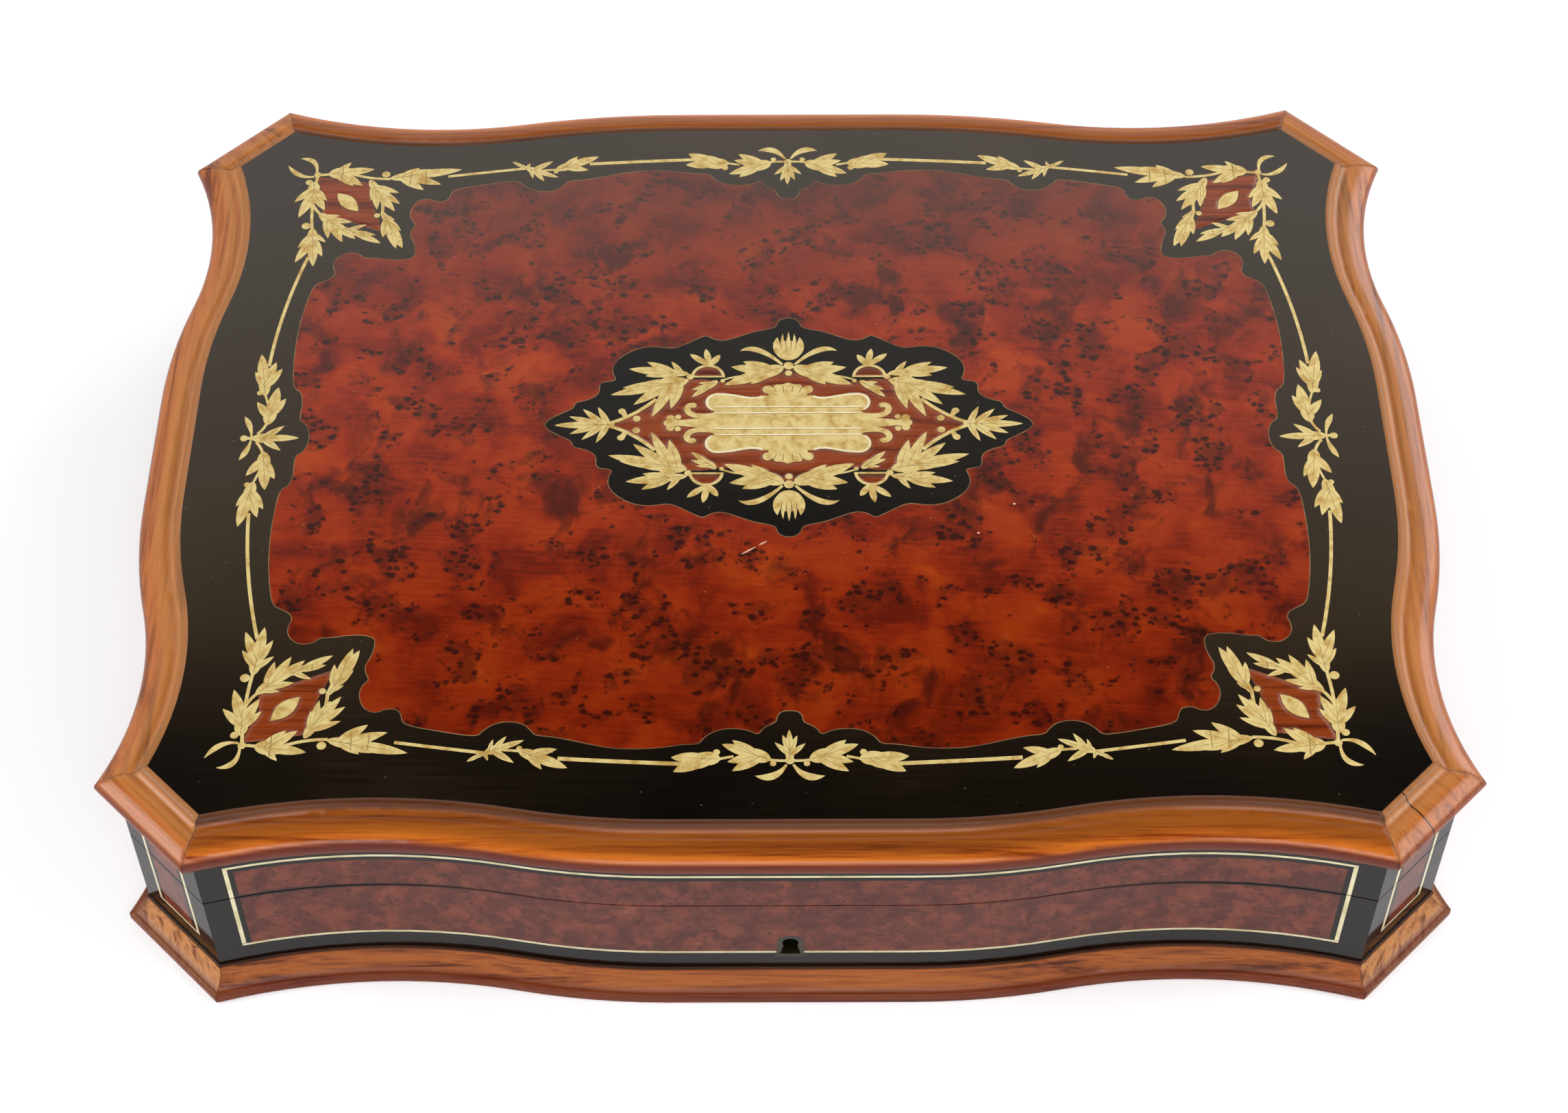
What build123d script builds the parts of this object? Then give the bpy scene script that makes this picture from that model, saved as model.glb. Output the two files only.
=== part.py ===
from build123d import *
import os
from math import atan2, cos, degrees, hypot, pi, sin, sqrt

os.makedirs("parts", exist_ok=True)

# An antique games box: a low box with four waved sides and four canted corners, veneered in burr wood,
# ebony and brass, with a hinged lid. Millimetres. The origin is the middle of the underside, +Z is up and
# the keyhole is in the front, which faces -Y. Every outline is the lid's rim set in or out by a distance.

# The rim seen from above. Side tips lie at the ends of the length, end tips at the ends of the width.
rim_length = 330.0
rim_width = 253.6
corner_cut = 23.6

# Each waved edge has a straight crest between two hollows. The drops say how far crest and hollow lie inside
# the tips at the ends of the edge; the front's crest stands out a little past them.
front_crest_drop = -0.4
front_hollow_drop = 5.9
back_crest_drop = 1.4
back_hollow_drop = 7.2
long_crest_run = 30.0  # from the middle of the front or the back to the end of its crest
long_hollow_run = 43.8  # from an end tip to the deepest point of its hollow, along the edge
side_crest_drop = 0.6
side_hollow_drop = 7.4
side_crest_run = 18.0
side_hollow_run = 32.7

# How far each layer lies inside the rim, and the thicknesses
rim_overhang = 4.0
veneer = 0.9
lid_moulding_width = 11.2
base_projection = 5.0
wall_at_hollow = 9.7

# Heights
carcass_height = 37.2
parting_gap = 0.4
lid_rail_height = 18.0
lid_board_thickness = 7.5
base_moulding_height = 9.4
base_board_thickness = 6.0

# Bands on the eight upright faces
string_width = 1.0
string_margin = 6.3  # from a corner or the base moulding to the brass line
lid_string_margin = 4.9  # from the lid moulding to the brass line
inner_band = 1.3  # ebony between the brass line and the burr

# Lid moulding section, from its rounded nose up to the flat beside the top panel
nose_bottom_rise = 0.7
nose_top_rise = 5.3
land_rise = 6.6
nose_depth = 1.7
nose_undercut = 1.2
land_depth = 6.6
flat_width = 1.4
flat_edge = 0.25
land_sag = 0.32
cove_sag = 0.71

# Base moulding section, from its square foot up to the small flat on top
foot_height = 3.2
foot_chamfer = 0.5
slope_foot_depth = 1.1
slope_top_drop = 0.6
slope_top_width = 0.5
slope_sag = 1.0

# Hinges
hinge_spacing = 100.0
hinge_length = 36.0
knuckle_count = 5
knuckle_gap = 0.2
leaf_thickness = 1.2
leaf_edge_margin = 2.5  # from the inside of the wall to the leaf
barrel_radius = 2.3
hinge_pin_radius = 1.0
pin_clearance = 0.06
pin_head_radius = 1.6
pin_end = 1.1
axis_past_corner = 1.1
barrel_gap = 0.25
leaf_fit = 0.15
hinge_screw_spread = 24.0
hinge_screw_inset = 4.0

# Wood screws for the hinges, the lock and the strike plate
screw_radius = 1.1
screw_head_radius = 2.0
screw_head_height = 1.0
screw_length = 8.0
screw_slot = 0.5
screw_fit = 0.05

# Lock
lock_width = 52.0
lock_body_width = 38.0
lock_height = 27.2
lock_depth = 8.0
lock_plate = 1.2
lock_fit = 0.2
lock_screw_spread = 45.0
lock_screw_margin = 6.0
lock_screw_length = 6.0
bolt_thickness = 2.0
bolt_from_plate = 2.0
bolt_bar_height = 4.0
bolt_bar_drop = 9.2  # from the top of the lock down to the bar
bolt_travel = 5.0
bolt_ledge = 1.5
bolt_clearance = 0.3
finger_height = 2.0
finger_rise = 2.5
post_width = 2.6
staple_spread = 14.0
staple_thickness = 1.6
staple_side = 1.0
staple_hole_fit = 0.4
staple_slot_fit = 0.6
staple_foot = 1.2
finger_clearance = 0.6
strike_length = 38.0
strike_screw_spread = 30.0
key_pin_radius = 0.9
key_pin_length = 6.0

# Keyhole
keyhole_height = 20.3  # centre of its round part above the table
keyhole_round = 2.0
keyhole_drop = 5.0
keyhole_waist = 1.5
keyhole_foot = 2.5
liner_wall = 1.3

# Fitted interior
lining = 0.6
partition_thickness = 3.0
partition_height = 26.0
card_well_length = 95.0
counter_clearance = 0.4
counter_tray_height = 20.0
counter_wall = 2.4
counter_floor = 2.0
counter_lid_height = 3.0
counter_lid_chamfer = 1.0
counter_tongue = 2.0
tongue_clearance = 0.3

# Marquetry of the top. Its points were drawn on a panel of this size and follow the real panel.
drawn_panel_length = 303.0
drawn_panel_width = 228.5
border_shift = 1.5  # the border and the cartouche were laid a little towards the back
cartouche_shift = 4.55
brass_line = 1.1

rim_half_length = rim_length / 2
rim_half_width = rim_width / 2
core_inset = rim_overhang + veneer
inner_half_length = rim_half_length - side_hollow_drop - core_inset - wall_at_hollow
inner_half_width = rim_half_width - back_hollow_drop - core_inset - wall_at_hollow
lid_bottom = carcass_height + parting_gap
lid_rail_top = lid_bottom + lid_rail_height
lid_board_top = lid_rail_top + lid_board_thickness
overall_height = lid_board_top + veneer
cant_line = rim_half_length + rim_half_width - corner_cut


def waved_edge(tip_along, tip_out, hollow_run, hollow_drop, crest_run, crest_drop):
    """Hollow, shoulder, straight crest, shoulder and hollow between two tips: along the edge and outwards."""
    hollow_along = tip_along - hollow_run
    hollow_radius = (hollow_run**2 + hollow_drop**2) / (2 * hollow_drop)
    depth = hollow_drop - crest_drop
    both_radii = ((hollow_along - crest_run) ** 2 + depth**2) / (2 * depth)
    return {
        "hollow_along": hollow_along,
        "hollow_out": tip_out - hollow_drop + hollow_radius,
        "hollow_radius": hollow_radius,
        "crest_run": crest_run,
        "crest_out": tip_out - crest_drop,
        "shoulder_radius": both_radii - hollow_radius,
    }


long_tip_along = rim_half_length - corner_cut
front_wave = waved_edge(
    long_tip_along, rim_half_width, long_hollow_run, front_hollow_drop, long_crest_run, front_crest_drop
)
back_wave = waved_edge(
    long_tip_along, rim_half_width, long_hollow_run, back_hollow_drop, long_crest_run, back_crest_drop
)
side_tip_along = rim_half_width - corner_cut
side_wave = waved_edge(
    side_tip_along, rim_half_length, side_hollow_run, side_hollow_drop, side_crest_run, side_crest_drop
)

# The four waved faces, anticlockwise from the front: name, direction along, direction outwards, wave
waved_faces = [
    ("front", (1, 0), (0, -1), front_wave),
    ("right", (0, 1), (1, 0), side_wave),
    ("back", (-1, 0), (0, 1), back_wave),
    ("left", (0, -1), (-1, 0), side_wave),
]


def tip_of(wave, inset):
    """Where a waved edge meets the cant, both set in by a distance: along the edge, outwards."""
    reach = cant_line - inset * sqrt(2) - wave["hollow_along"]
    radius = wave["hollow_radius"] + inset
    total = reach + wave["hollow_out"]
    root = sqrt(total**2 - 2 * (reach**2 + wave["hollow_out"] ** 2 - radius**2))
    out = (total - root) / 2
    return reach + wave["hollow_along"] - out, out


def place(face, along, out):
    """A point of the plan, from its place along a face and outwards."""
    _, direction, outward, _ = face
    return (
        along * direction[0] + out * outward[0],
        along * direction[1] + out * outward[1],
    )


def edge_points(face, inset, overrun=0.0):
    """Ends, joints and middles of the arcs of a waved edge, in order; overrun lengthens both ends."""
    wave = face[3]
    hollow = wave["hollow_radius"] + inset
    shoulder = wave["shoulder_radius"] - inset
    shoulder_out = wave["crest_out"] - wave["shoulder_radius"]
    tip_along, tip_out = tip_of(wave, inset)
    tip_angle = atan2(tip_out - wave["hollow_out"], tip_along - wave["hollow_along"]) + overrun / hollow
    join_angle = atan2(shoulder_out - wave["hollow_out"], wave["crest_run"] - wave["hollow_along"])
    half = [
        (wave["hollow_along"] + hollow * cos(angle), wave["hollow_out"] + hollow * sin(angle))
        for angle in (tip_angle, (tip_angle + join_angle) / 2, join_angle)
    ]
    half += [
        (wave["crest_run"] + shoulder * cos(angle), shoulder_out + shoulder * sin(angle))
        for angle in ((join_angle + 1.5 * pi) / 2, pi / 2)
    ]
    points = [(-along, out) for along, out in half] + half[::-1]
    return [place(face, along, out) for along, out in points]


def draw_edge(points):
    """Draws a waved edge in the current line: hollow, shoulder, crest, shoulder, hollow."""
    ThreePointArc(points[0], points[1], points[2])
    ThreePointArc(points[2], points[3], points[4])
    Line(points[4], points[5])
    ThreePointArc(points[5], points[6], points[7])
    ThreePointArc(points[7], points[8], points[9])


def case_outline(inset):
    """Draws the whole closed outline, set in from the rim, as a face in the current sketch."""
    with BuildLine() as line:
        for number, face in enumerate(waved_faces):
            points = edge_points(face, inset)
            following = edge_points(waved_faces[(number + 1) % 4], inset)
            draw_edge(points)
            Line(points[-1], following[0])
    make_face(line.line)


def face_strip(number, outer_inset, inner_inset):
    """Plan of the layer on one of the eight faces, mitred at its corners. Waved faces have even numbers."""
    face = waved_faces[number // 2]
    if number % 2 == 0:
        outer = edge_points(face, outer_inset)
        inner = edge_points(face, inner_inset)
        with BuildLine() as line:
            draw_edge(outer)
            Line(outer[-1], inner[-1])
            draw_edge(inner)
            Line(inner[0], outer[0])
    else:
        following = waved_faces[(number // 2 + 1) % 4]
        ends = [edge_points(face, inset)[-1] for inset in (outer_inset, inner_inset)]
        starts = [edge_points(following, inset)[0] for inset in (outer_inset, inner_inset)]
        with BuildLine() as line:
            Polyline(ends[0], starts[0], starts[1], ends[1], close=True)
    make_face(line.line)


def face_frame(number):
    """Middle of one of the eight faces in plan, the direction along it and half its length."""
    face = waved_faces[number // 2]
    points = edge_points(face, rim_overhang)
    if number % 2 == 0:
        return (0.0, 0.0), face[1], tip_of(face[3], rim_overhang)[0]
    start = points[-1]
    end = edge_points(waved_faces[(number // 2 + 1) % 4], rim_overhang)[0]
    length = hypot(end[0] - start[0], end[1] - start[1])
    middle = ((start[0] + end[0]) / 2, (start[1] + end[1]) / 2)
    return middle, ((end[0] - start[0]) / length, (end[1] - start[1]) / length), length / 2


def skin(number, margin, low, high, mode=Mode.ADD):
    """Adds or takes away the veneer of a face, between two heights and up to a margin from its corners."""
    middle, direction, half_length = face_frame(number)
    turn = degrees(atan2(direction[1], direction[0]))
    with BuildSketch(Plane.XY.offset(low)) as plan:
        face_strip(number, rim_overhang, core_inset)
        if margin > 0:
            with Locations(Location((*middle, 0), (0, 0, turn))):
                Rectangle(2 * (half_length - margin), rim_length, mode=Mode.INTERSECT)
    extrude(plan.sketch, amount=high - low, mode=mode)


def save(block, name):
    """Labels a finished piece and writes it."""
    block.part.label = name
    export_step(block.part, f"parts/{name}.step")


# Hinge, lock and keyhole places that several pieces share
hinge_axis_y = tip_of(back_wave, rim_overhang)[1] + axis_past_corner
hinge_axis_z = carcass_height + parting_gap / 2
hinge_places = [-hinge_spacing / 2, hinge_spacing / 2]
leaf_inner_y = inner_half_width + leaf_edge_margin
leaf_outer_y = hinge_axis_y - barrel_radius - barrel_gap
hinge_screw_y = leaf_inner_y + hinge_screw_inset
hinge_screw_places = [
    (place_x + side * hinge_screw_spread / 2, hinge_screw_y) for place_x in hinge_places for side in (-1, 1)
]
lock_top = carcass_height
lock_bottom = lock_top - lock_height
plate_face_y = -inner_half_width - lock_plate
bolt_y = plate_face_y - bolt_from_plate - bolt_thickness / 2
bar_top = lock_top - bolt_bar_drop
bar_bottom = bar_top - bolt_bar_height
staple_places = [-staple_spread / 2, staple_spread / 2]
staple_depth = bolt_thickness + 2 * (staple_hole_fit + staple_side)
finger_bottom = bar_top + finger_rise
staple_bottom = finger_bottom - staple_hole_fit - staple_foot
front_face_y = -(rim_half_width - front_crest_drop - rim_overhang)
lock_back_y = -inner_half_width - lock_depth
lock_screw_places = [
    (side * lock_screw_spread / 2, height)
    for side in (-1, 1)
    for height in (lock_bottom + lock_screw_margin, lock_top - lock_screw_margin)
]
strike_y = bolt_y
strike_width = staple_depth + 2 * staple_side
strike_screw_places = [(side * strike_screw_spread / 2, strike_y) for side in (-1, 1)]


def keyhole_outline(grow):
    """Draws a keyhole, round above and flared below, in a sketch whose middle is the round part."""
    Circle(keyhole_round + grow)
    with BuildLine() as line:
        Polyline(
            (-keyhole_waist - grow, 0),
            (keyhole_waist + grow, 0),
            (keyhole_foot + grow, -keyhole_drop - grow),
            (-keyhole_foot - grow, -keyhole_drop - grow),
            close=True,
        )
    make_face(line.line)


keyhole_plane = Plane(origin=(0, front_face_y, keyhole_height), x_dir=(1, 0, 0), z_dir=(0, -1, 0))


def cut_keyhole():
    """Cuts the keyhole's liner out of a piece of the front, from outside through to the lock."""
    with BuildSketch(keyhole_plane) as hole:
        keyhole_outline(liner_wall)
    extrude(hole.sketch, amount=lock_back_y - front_face_y, both=True, mode=Mode.SUBTRACT)


def cut_leaf_recesses(low):
    """Cuts the two seats of the hinge leaves into the back, between a height and a leaf's thickness above."""
    depth = hinge_axis_y - leaf_inner_y + leaf_fit
    with BuildSketch(Plane.XY.offset(low)) as seats:
        with Locations(*[(place_x, hinge_axis_y - depth / 2) for place_x in hinge_places]):
            Rectangle(hinge_length + 2 * leaf_fit, depth)
    extrude(seats.sketch, amount=leaf_thickness, mode=Mode.SUBTRACT)


def cut_pilot_holes(places, start, direction):
    """Cuts the holes of upright wood screws, from a height upwards or downwards."""
    with BuildSketch(Plane.XY.offset(start)) as holes:
        with Locations(*places):
            Circle(screw_radius + screw_fit)
    extrude(holes.sketch, amount=direction * (screw_length + screw_fit), mode=Mode.SUBTRACT)


def add_screws(places, height, direction):
    """Adds upright countersunk screws with their heads flush at a height, pointing down (-1) or up (1)."""
    for x, y in places:
        with BuildSketch(Plane(origin=(x, y, height), x_dir=(1, 0, 0), z_dir=(0, -1, 0))) as half:
            with BuildLine() as line:
                Polyline(
                    (0, 0),
                    (screw_head_radius, 0),
                    (screw_radius, direction * screw_head_height),
                    (screw_radius, direction * (screw_length - screw_radius)),
                    (0, direction * screw_length),
                    close=True,
                )
            make_face(line.line)
        revolve(half.sketch, axis=Axis((x, y, height), (0, 0, 1)))
    with BuildSketch(Plane.XY.offset(height)) as slots:
        with Locations(*places):
            Rectangle(2 * screw_head_radius, screw_slot)
    extrude(slots.sketch, amount=direction * screw_head_height / 2, mode=Mode.SUBTRACT)


def cut_head_seats(places, height, direction):
    """Cuts the countersunk seats and holes of upright screws through a plate."""
    for x, y in places:
        with BuildSketch(Plane(origin=(x, y, height), x_dir=(1, 0, 0), z_dir=(0, -1, 0))) as half:
            with BuildLine() as line:
                Polyline(
                    (0, 0),
                    (screw_head_radius + screw_fit, 0),
                    (screw_radius + screw_fit, direction * screw_head_height),
                    (screw_radius + screw_fit, direction * 2 * leaf_thickness),
                    (0, direction * 2 * leaf_thickness),
                    close=True,
                )
            make_face(line.line)
        revolve(half.sketch, axis=Axis((x, y, height), (0, 0, 1)), mode=Mode.SUBTRACT)


# Base board, flush with the underside
with BuildPart() as base_board:
    with BuildSketch():
        Rectangle(2 * inner_half_length, 2 * inner_half_width)
    extrude(amount=base_board_thickness)
save(base_board, "base_board")


def inner_corner(face):
    """Where the straight inside of a wall ends: along the face, outwards."""
    if face[0] in ("front", "back"):
        return inner_half_length, inner_half_width
    return inner_half_width, inner_half_length


def wall_plan(face):
    """Plan of a wall: waved outside, straight inside, mitred from the inner corner to the outer tip."""
    outer = edge_points(face, core_inset)
    inner_along, inner_out = inner_corner(face)
    inner_end = place(face, inner_along, inner_out)
    inner_start = place(face, -inner_along, inner_out)
    with BuildLine() as line:
        draw_edge(outer)
        Polyline(outer[-1], inner_end, inner_start, outer[0])
    make_face(line.line)


def corner_plan(number):
    """Plan of the three-sided post behind a cant, between the mitres of two walls."""
    face = waved_faces[number]
    following = waved_faces[(number + 1) % 4]
    with BuildLine() as line:
        Polyline(
            edge_points(face, core_inset)[-1],
            edge_points(following, core_inset)[0],
            place(face, *inner_corner(face)),
            close=True,
        )
    make_face(line.line)


# Carcass walls. The front one is cut for the lock and the keyhole, the back one for the hinge leaves.
for face in waved_faces:
    with BuildPart() as wall:
        with BuildSketch():
            wall_plan(face)
        extrude(amount=carcass_height)
        if face[0] == "front":
            cut_keyhole()
            with BuildSketch(Plane.XY.offset(lock_bottom - lock_fit)):
                with Locations((0, -inner_half_width)):
                    Rectangle(
                        lock_body_width + 2 * lock_fit, lock_depth + lock_fit, align=(Align.CENTER, Align.MAX)
                    )
                    Rectangle(lock_width + 2 * lock_fit, lock_plate, align=(Align.CENTER, Align.MAX))
            extrude(amount=lock_height + lock_fit, mode=Mode.SUBTRACT)
            with BuildSketch(Plane.XY.offset(carcass_height - lock_plate)):
                with Locations((0, -inner_half_width)):
                    Rectangle(
                        lock_width + 2 * lock_fit, lock_depth + lock_fit, align=(Align.CENTER, Align.MAX)
                    )
            extrude(amount=lock_plate, mode=Mode.SUBTRACT)
            with BuildSketch(Plane(origin=(0, plate_face_y, 0), x_dir=(1, 0, 0), z_dir=(0, -1, 0))):
                with Locations(*lock_screw_places):
                    Circle(screw_radius + screw_fit)
            extrude(amount=lock_screw_length - lock_plate + screw_fit, mode=Mode.SUBTRACT)
        if face[0] == "back":
            cut_leaf_recesses(carcass_height - leaf_thickness)
            cut_pilot_holes(hinge_screw_places, carcass_height, -1)
    save(wall, f"{face[0]}_wall")

with BuildPart() as corner_posts:
    for number in range(4):
        with BuildSketch():
            corner_plan(number)
        extrude(amount=carcass_height)
save(corner_posts, "corner_posts")


def lid_moulding_section():
    """Section of the lid moulding: x is the distance in from the rim, y the height above the lid rails."""
    top = overall_height - lid_rail_top
    flat_start = lid_moulding_width - flat_width
    with BuildLine() as line:
        Line((lid_moulding_width, top), (lid_moulding_width, 0))
        Line((lid_moulding_width, 0), (nose_depth, 0))
        Line((nose_depth, 0), (nose_undercut, nose_bottom_rise))
        ThreePointArc(
            (nose_undercut, nose_bottom_rise),
            (0, (nose_bottom_rise + nose_top_rise) / 2),
            (nose_depth, nose_top_rise),
        )
        SagittaArc((nose_depth, nose_top_rise), (land_depth, land_rise), land_sag)
        SagittaArc((land_depth, land_rise), (flat_start - flat_edge, top - 2 * flat_edge), -cove_sag)
        Line((flat_start - flat_edge, top - 2 * flat_edge), (flat_start, top))
        Line((flat_start, top), (lid_moulding_width, top))
    make_face(line.line)


def base_moulding_section():
    """Section of the base moulding: x is the distance in from the rim, y the height above the table."""
    foot = rim_overhang - base_projection
    slope_start = foot + slope_foot_depth
    slope_end = rim_overhang - slope_top_width
    slope_top = base_moulding_height - slope_top_drop
    with BuildLine() as line:
        Line((core_inset, 0), (foot + foot_chamfer, 0))
        Line((foot + foot_chamfer, 0), (foot, foot_chamfer))
        Line((foot, foot_chamfer), (foot, foot_height - foot_chamfer))
        Line((foot, foot_height - foot_chamfer), (foot + foot_chamfer, foot_height))
        Line((foot + foot_chamfer, foot_height), (slope_start, foot_height))
        SagittaArc((slope_start, foot_height), (slope_end, slope_top), -slope_sag)
        Line((slope_end, slope_top), (slope_end, base_moulding_height))
        Line((slope_end, base_moulding_height), (core_inset, base_moulding_height))
        Line((core_inset, base_moulding_height), (core_inset, 0))
    make_face(line.line)


def mitre_points(face, at_end, outer_inset, inner_inset, reach):
    """Two points of the mitre at an end of a waved edge, beyond the moulding's outside and its inside."""
    index = -1 if at_end else 0
    outer = edge_points(face, outer_inset)[index]
    inner = edge_points(face, inner_inset)[index]
    length = hypot(outer[0] - inner[0], outer[1] - inner[1])
    step = ((outer[0] - inner[0]) / length, (outer[1] - inner[1]) / length)
    return (
        (outer[0] + reach * step[0], outer[1] + reach * step[1]),
        (inner[0] - reach * step[0], inner[1] - reach * step[1]),
    )


def keep_between_mitres(number, outer_inset, inner_inset):
    """Cuts a length of moulding back to the mitres at its two corners."""
    face = waved_faces[number // 2]
    following = waved_faces[(number // 2 + 1) % 4]
    if number % 2 == 0:
        reach = front_hollow_drop + side_hollow_drop
        start = mitre_points(face, False, outer_inset, inner_inset, reach)
        end = mitre_points(face, True, outer_inset, inner_inset, reach)
    else:
        reach = (inner_inset - outer_inset) / 2
        start = mitre_points(face, True, outer_inset, inner_inset, reach)
        end = mitre_points(following, False, outer_inset, inner_inset, reach)
    with BuildSketch() as between:
        with BuildLine() as line:
            Polyline(start[1], start[0], end[0], end[1], close=True)
        make_face(line.line)
    extrude(between.sketch, amount=2 * overall_height, both=True, mode=Mode.INTERSECT)


def moulding_length(number, section, low, outer_inset, inner_inset):
    """Runs a moulding's section along one of the eight edges and mitres its ends."""
    face = waved_faces[number // 2]
    overrun = lid_moulding_width / 2
    if number % 2 == 0:
        with BuildLine(Plane.XY.offset(low)) as path:
            draw_edge(edge_points(face, 0.0, overrun))
        start = path.line @ 0
        heading = path.line % 0
        with BuildSketch(Plane(origin=start, x_dir=(-heading.Y, heading.X, 0), z_dir=heading)) as end_face:
            section()
        sweep(end_face.sketch, path=path.line)
    else:
        following = waved_faces[(number // 2 + 1) % 4]
        start = edge_points(face, 0.0)[-1]
        end = edge_points(following, 0.0)[0]
        length = hypot(end[0] - start[0], end[1] - start[1])
        heading = ((end[0] - start[0]) / length, (end[1] - start[1]) / length)
        first = (start[0] - heading[0] * overrun, start[1] - heading[1] * overrun, low)
        end_plane = Plane(origin=first, x_dir=(-heading[1], heading[0], 0), z_dir=(*heading, 0))
        with BuildSketch(end_plane) as end_face:
            section()
        extrude(end_face.sketch, amount=length + 2 * overrun)
    keep_between_mitres(number, outer_inset, inner_inset)


# The two mouldings: one node for each waved length, and one for the four short lengths at the cants
mouldings = [
    ("base_moulding", base_moulding_section, 0.0, rim_overhang - base_projection, core_inset),
    ("lid_moulding", lid_moulding_section, lid_rail_top, 0.0, lid_moulding_width),
]
for name, section, low, outer_inset, inner_inset in mouldings:
    for number, face in enumerate(waved_faces):
        with BuildPart() as moulding:
            moulding_length(2 * number, section, low, outer_inset, inner_inset)
        save(moulding, f"{name}_{face[0]}")
    corner_lengths = []
    for number in range(4):
        with BuildPart() as corner_length:
            moulding_length(2 * number + 1, section, low, outer_inset, inner_inset)
        corner_lengths.append(corner_length.part)
    with BuildPart() as corners:
        add(corner_lengths)
    save(corners, f"{name}_corners")

# Veneers of the carcass: ebony round the outside, a brass line, a narrow ebony band, and burr in the middle
line_margin = string_margin + string_width
burr_margin = line_margin + inner_band
lower_line = base_moulding_height + string_margin
with BuildPart() as carcass_burr:
    for number in range(8):
        skin(number, burr_margin, lower_line + string_width, carcass_height)
    cut_keyhole()
    cut_leaf_recesses(carcass_height - leaf_thickness)
save(carcass_burr, "carcass_burr_panels")

with BuildPart() as carcass_brass:
    for number in range(8):
        skin(number, string_margin, lower_line, carcass_height)
        skin(number, line_margin, lower_line + string_width, carcass_height, Mode.SUBTRACT)
    cut_keyhole()
save(carcass_brass, "carcass_brass_stringing")

with BuildPart() as carcass_ebony:
    for number in range(8):
        skin(number, 0, base_moulding_height, carcass_height)
        skin(number, string_margin, lower_line, carcass_height, Mode.SUBTRACT)
    for number in range(8):
        skin(number, line_margin, lower_line + string_width, carcass_height)
        skin(number, burr_margin, lower_line + string_width, carcass_height, Mode.SUBTRACT)
    cut_keyhole()
save(carcass_ebony, "carcass_ebony_bands")

# Veneers of the lid's sides, with the frame closed at the top
upper_line = lid_rail_top - lid_string_margin
with BuildPart() as lid_burr:
    for number in range(8):
        skin(number, burr_margin, lid_bottom, upper_line - string_width - inner_band)
    cut_leaf_recesses(lid_bottom)
save(lid_burr, "lid_side_burr_panels")

with BuildPart() as lid_brass:
    for number in range(8):
        skin(number, string_margin, lid_bottom, upper_line)
        skin(number, line_margin, lid_bottom, upper_line - string_width, Mode.SUBTRACT)
save(lid_brass, "lid_side_brass_stringing")

with BuildPart() as lid_ebony:
    for number in range(8):
        skin(number, 0, lid_bottom, lid_rail_top)
        skin(number, string_margin, lid_bottom, upper_line, Mode.SUBTRACT)
    for number in range(8):
        skin(number, line_margin, lid_bottom, upper_line - string_width)
        skin(number, burr_margin, lid_bottom, upper_line - string_width - inner_band, Mode.SUBTRACT)
save(lid_ebony, "lid_side_ebony_bands")

# Keyhole liner, a short brass tube of the keyhole's shape
with BuildPart() as keyhole_liner:
    with BuildSketch(keyhole_plane):
        keyhole_outline(liner_wall)
        with BuildSketch(mode=Mode.SUBTRACT):
            keyhole_outline(0)
    extrude(amount=front_face_y - lock_back_y + lock_fit, dir=(0, -1, 0))
save(keyhole_liner, "keyhole_liner")

# Lock case: a plate flush with the inside of the wall, a top plate flush with its edge, and a body behind
with BuildPart() as lock_case:
    with BuildSketch(Plane.XY.offset(lock_bottom)):
        with Locations((0, -inner_half_width)):
            Rectangle(lock_width, lock_plate, align=(Align.CENTER, Align.MAX))
            Rectangle(lock_body_width, lock_depth, align=(Align.CENTER, Align.MAX))
    extrude(amount=lock_height)
    with BuildSketch(Plane.XY.offset(lock_top - lock_plate)):
        with Locations((0, -inner_half_width)):
            Rectangle(lock_width, lock_depth, align=(Align.CENTER, Align.MAX))
    extrude(amount=lock_plate)
    with BuildSketch(Plane.XY.offset(lock_bottom + lock_plate)):
        with Locations((0, plate_face_y)):
            Rectangle(lock_body_width - 2 * lock_plate, lock_depth, align=(Align.CENTER, Align.MAX))
    extrude(amount=lock_height - 2 * lock_plate, mode=Mode.SUBTRACT)
    with BuildSketch(Plane.XY.offset(lock_top - lock_plate)):
        with Locations(*[(place_x, bolt_y) for place_x in staple_places]):
            Rectangle(staple_thickness + 2 * staple_slot_fit, staple_depth + staple_slot_fit)
    extrude(amount=lock_plate, mode=Mode.SUBTRACT)
    with BuildSketch(Plane.XY.offset(bar_bottom - bolt_clearance - bolt_ledge)):
        with Locations((0, plate_face_y)):
            Rectangle(
                lock_body_width - 2 * lock_plate,
                bolt_from_plate + bolt_thickness,
                align=(Align.CENTER, Align.MAX),
            )
    extrude(amount=bolt_ledge)
    with BuildSketch(Plane(origin=(0, -inner_half_width, 0), x_dir=(1, 0, 0), z_dir=(0, -1, 0))):
        with Locations(*lock_screw_places):
            Circle(screw_radius + screw_fit)
    extrude(amount=lock_plate, mode=Mode.SUBTRACT)
save(lock_case, "lock_case")

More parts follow.
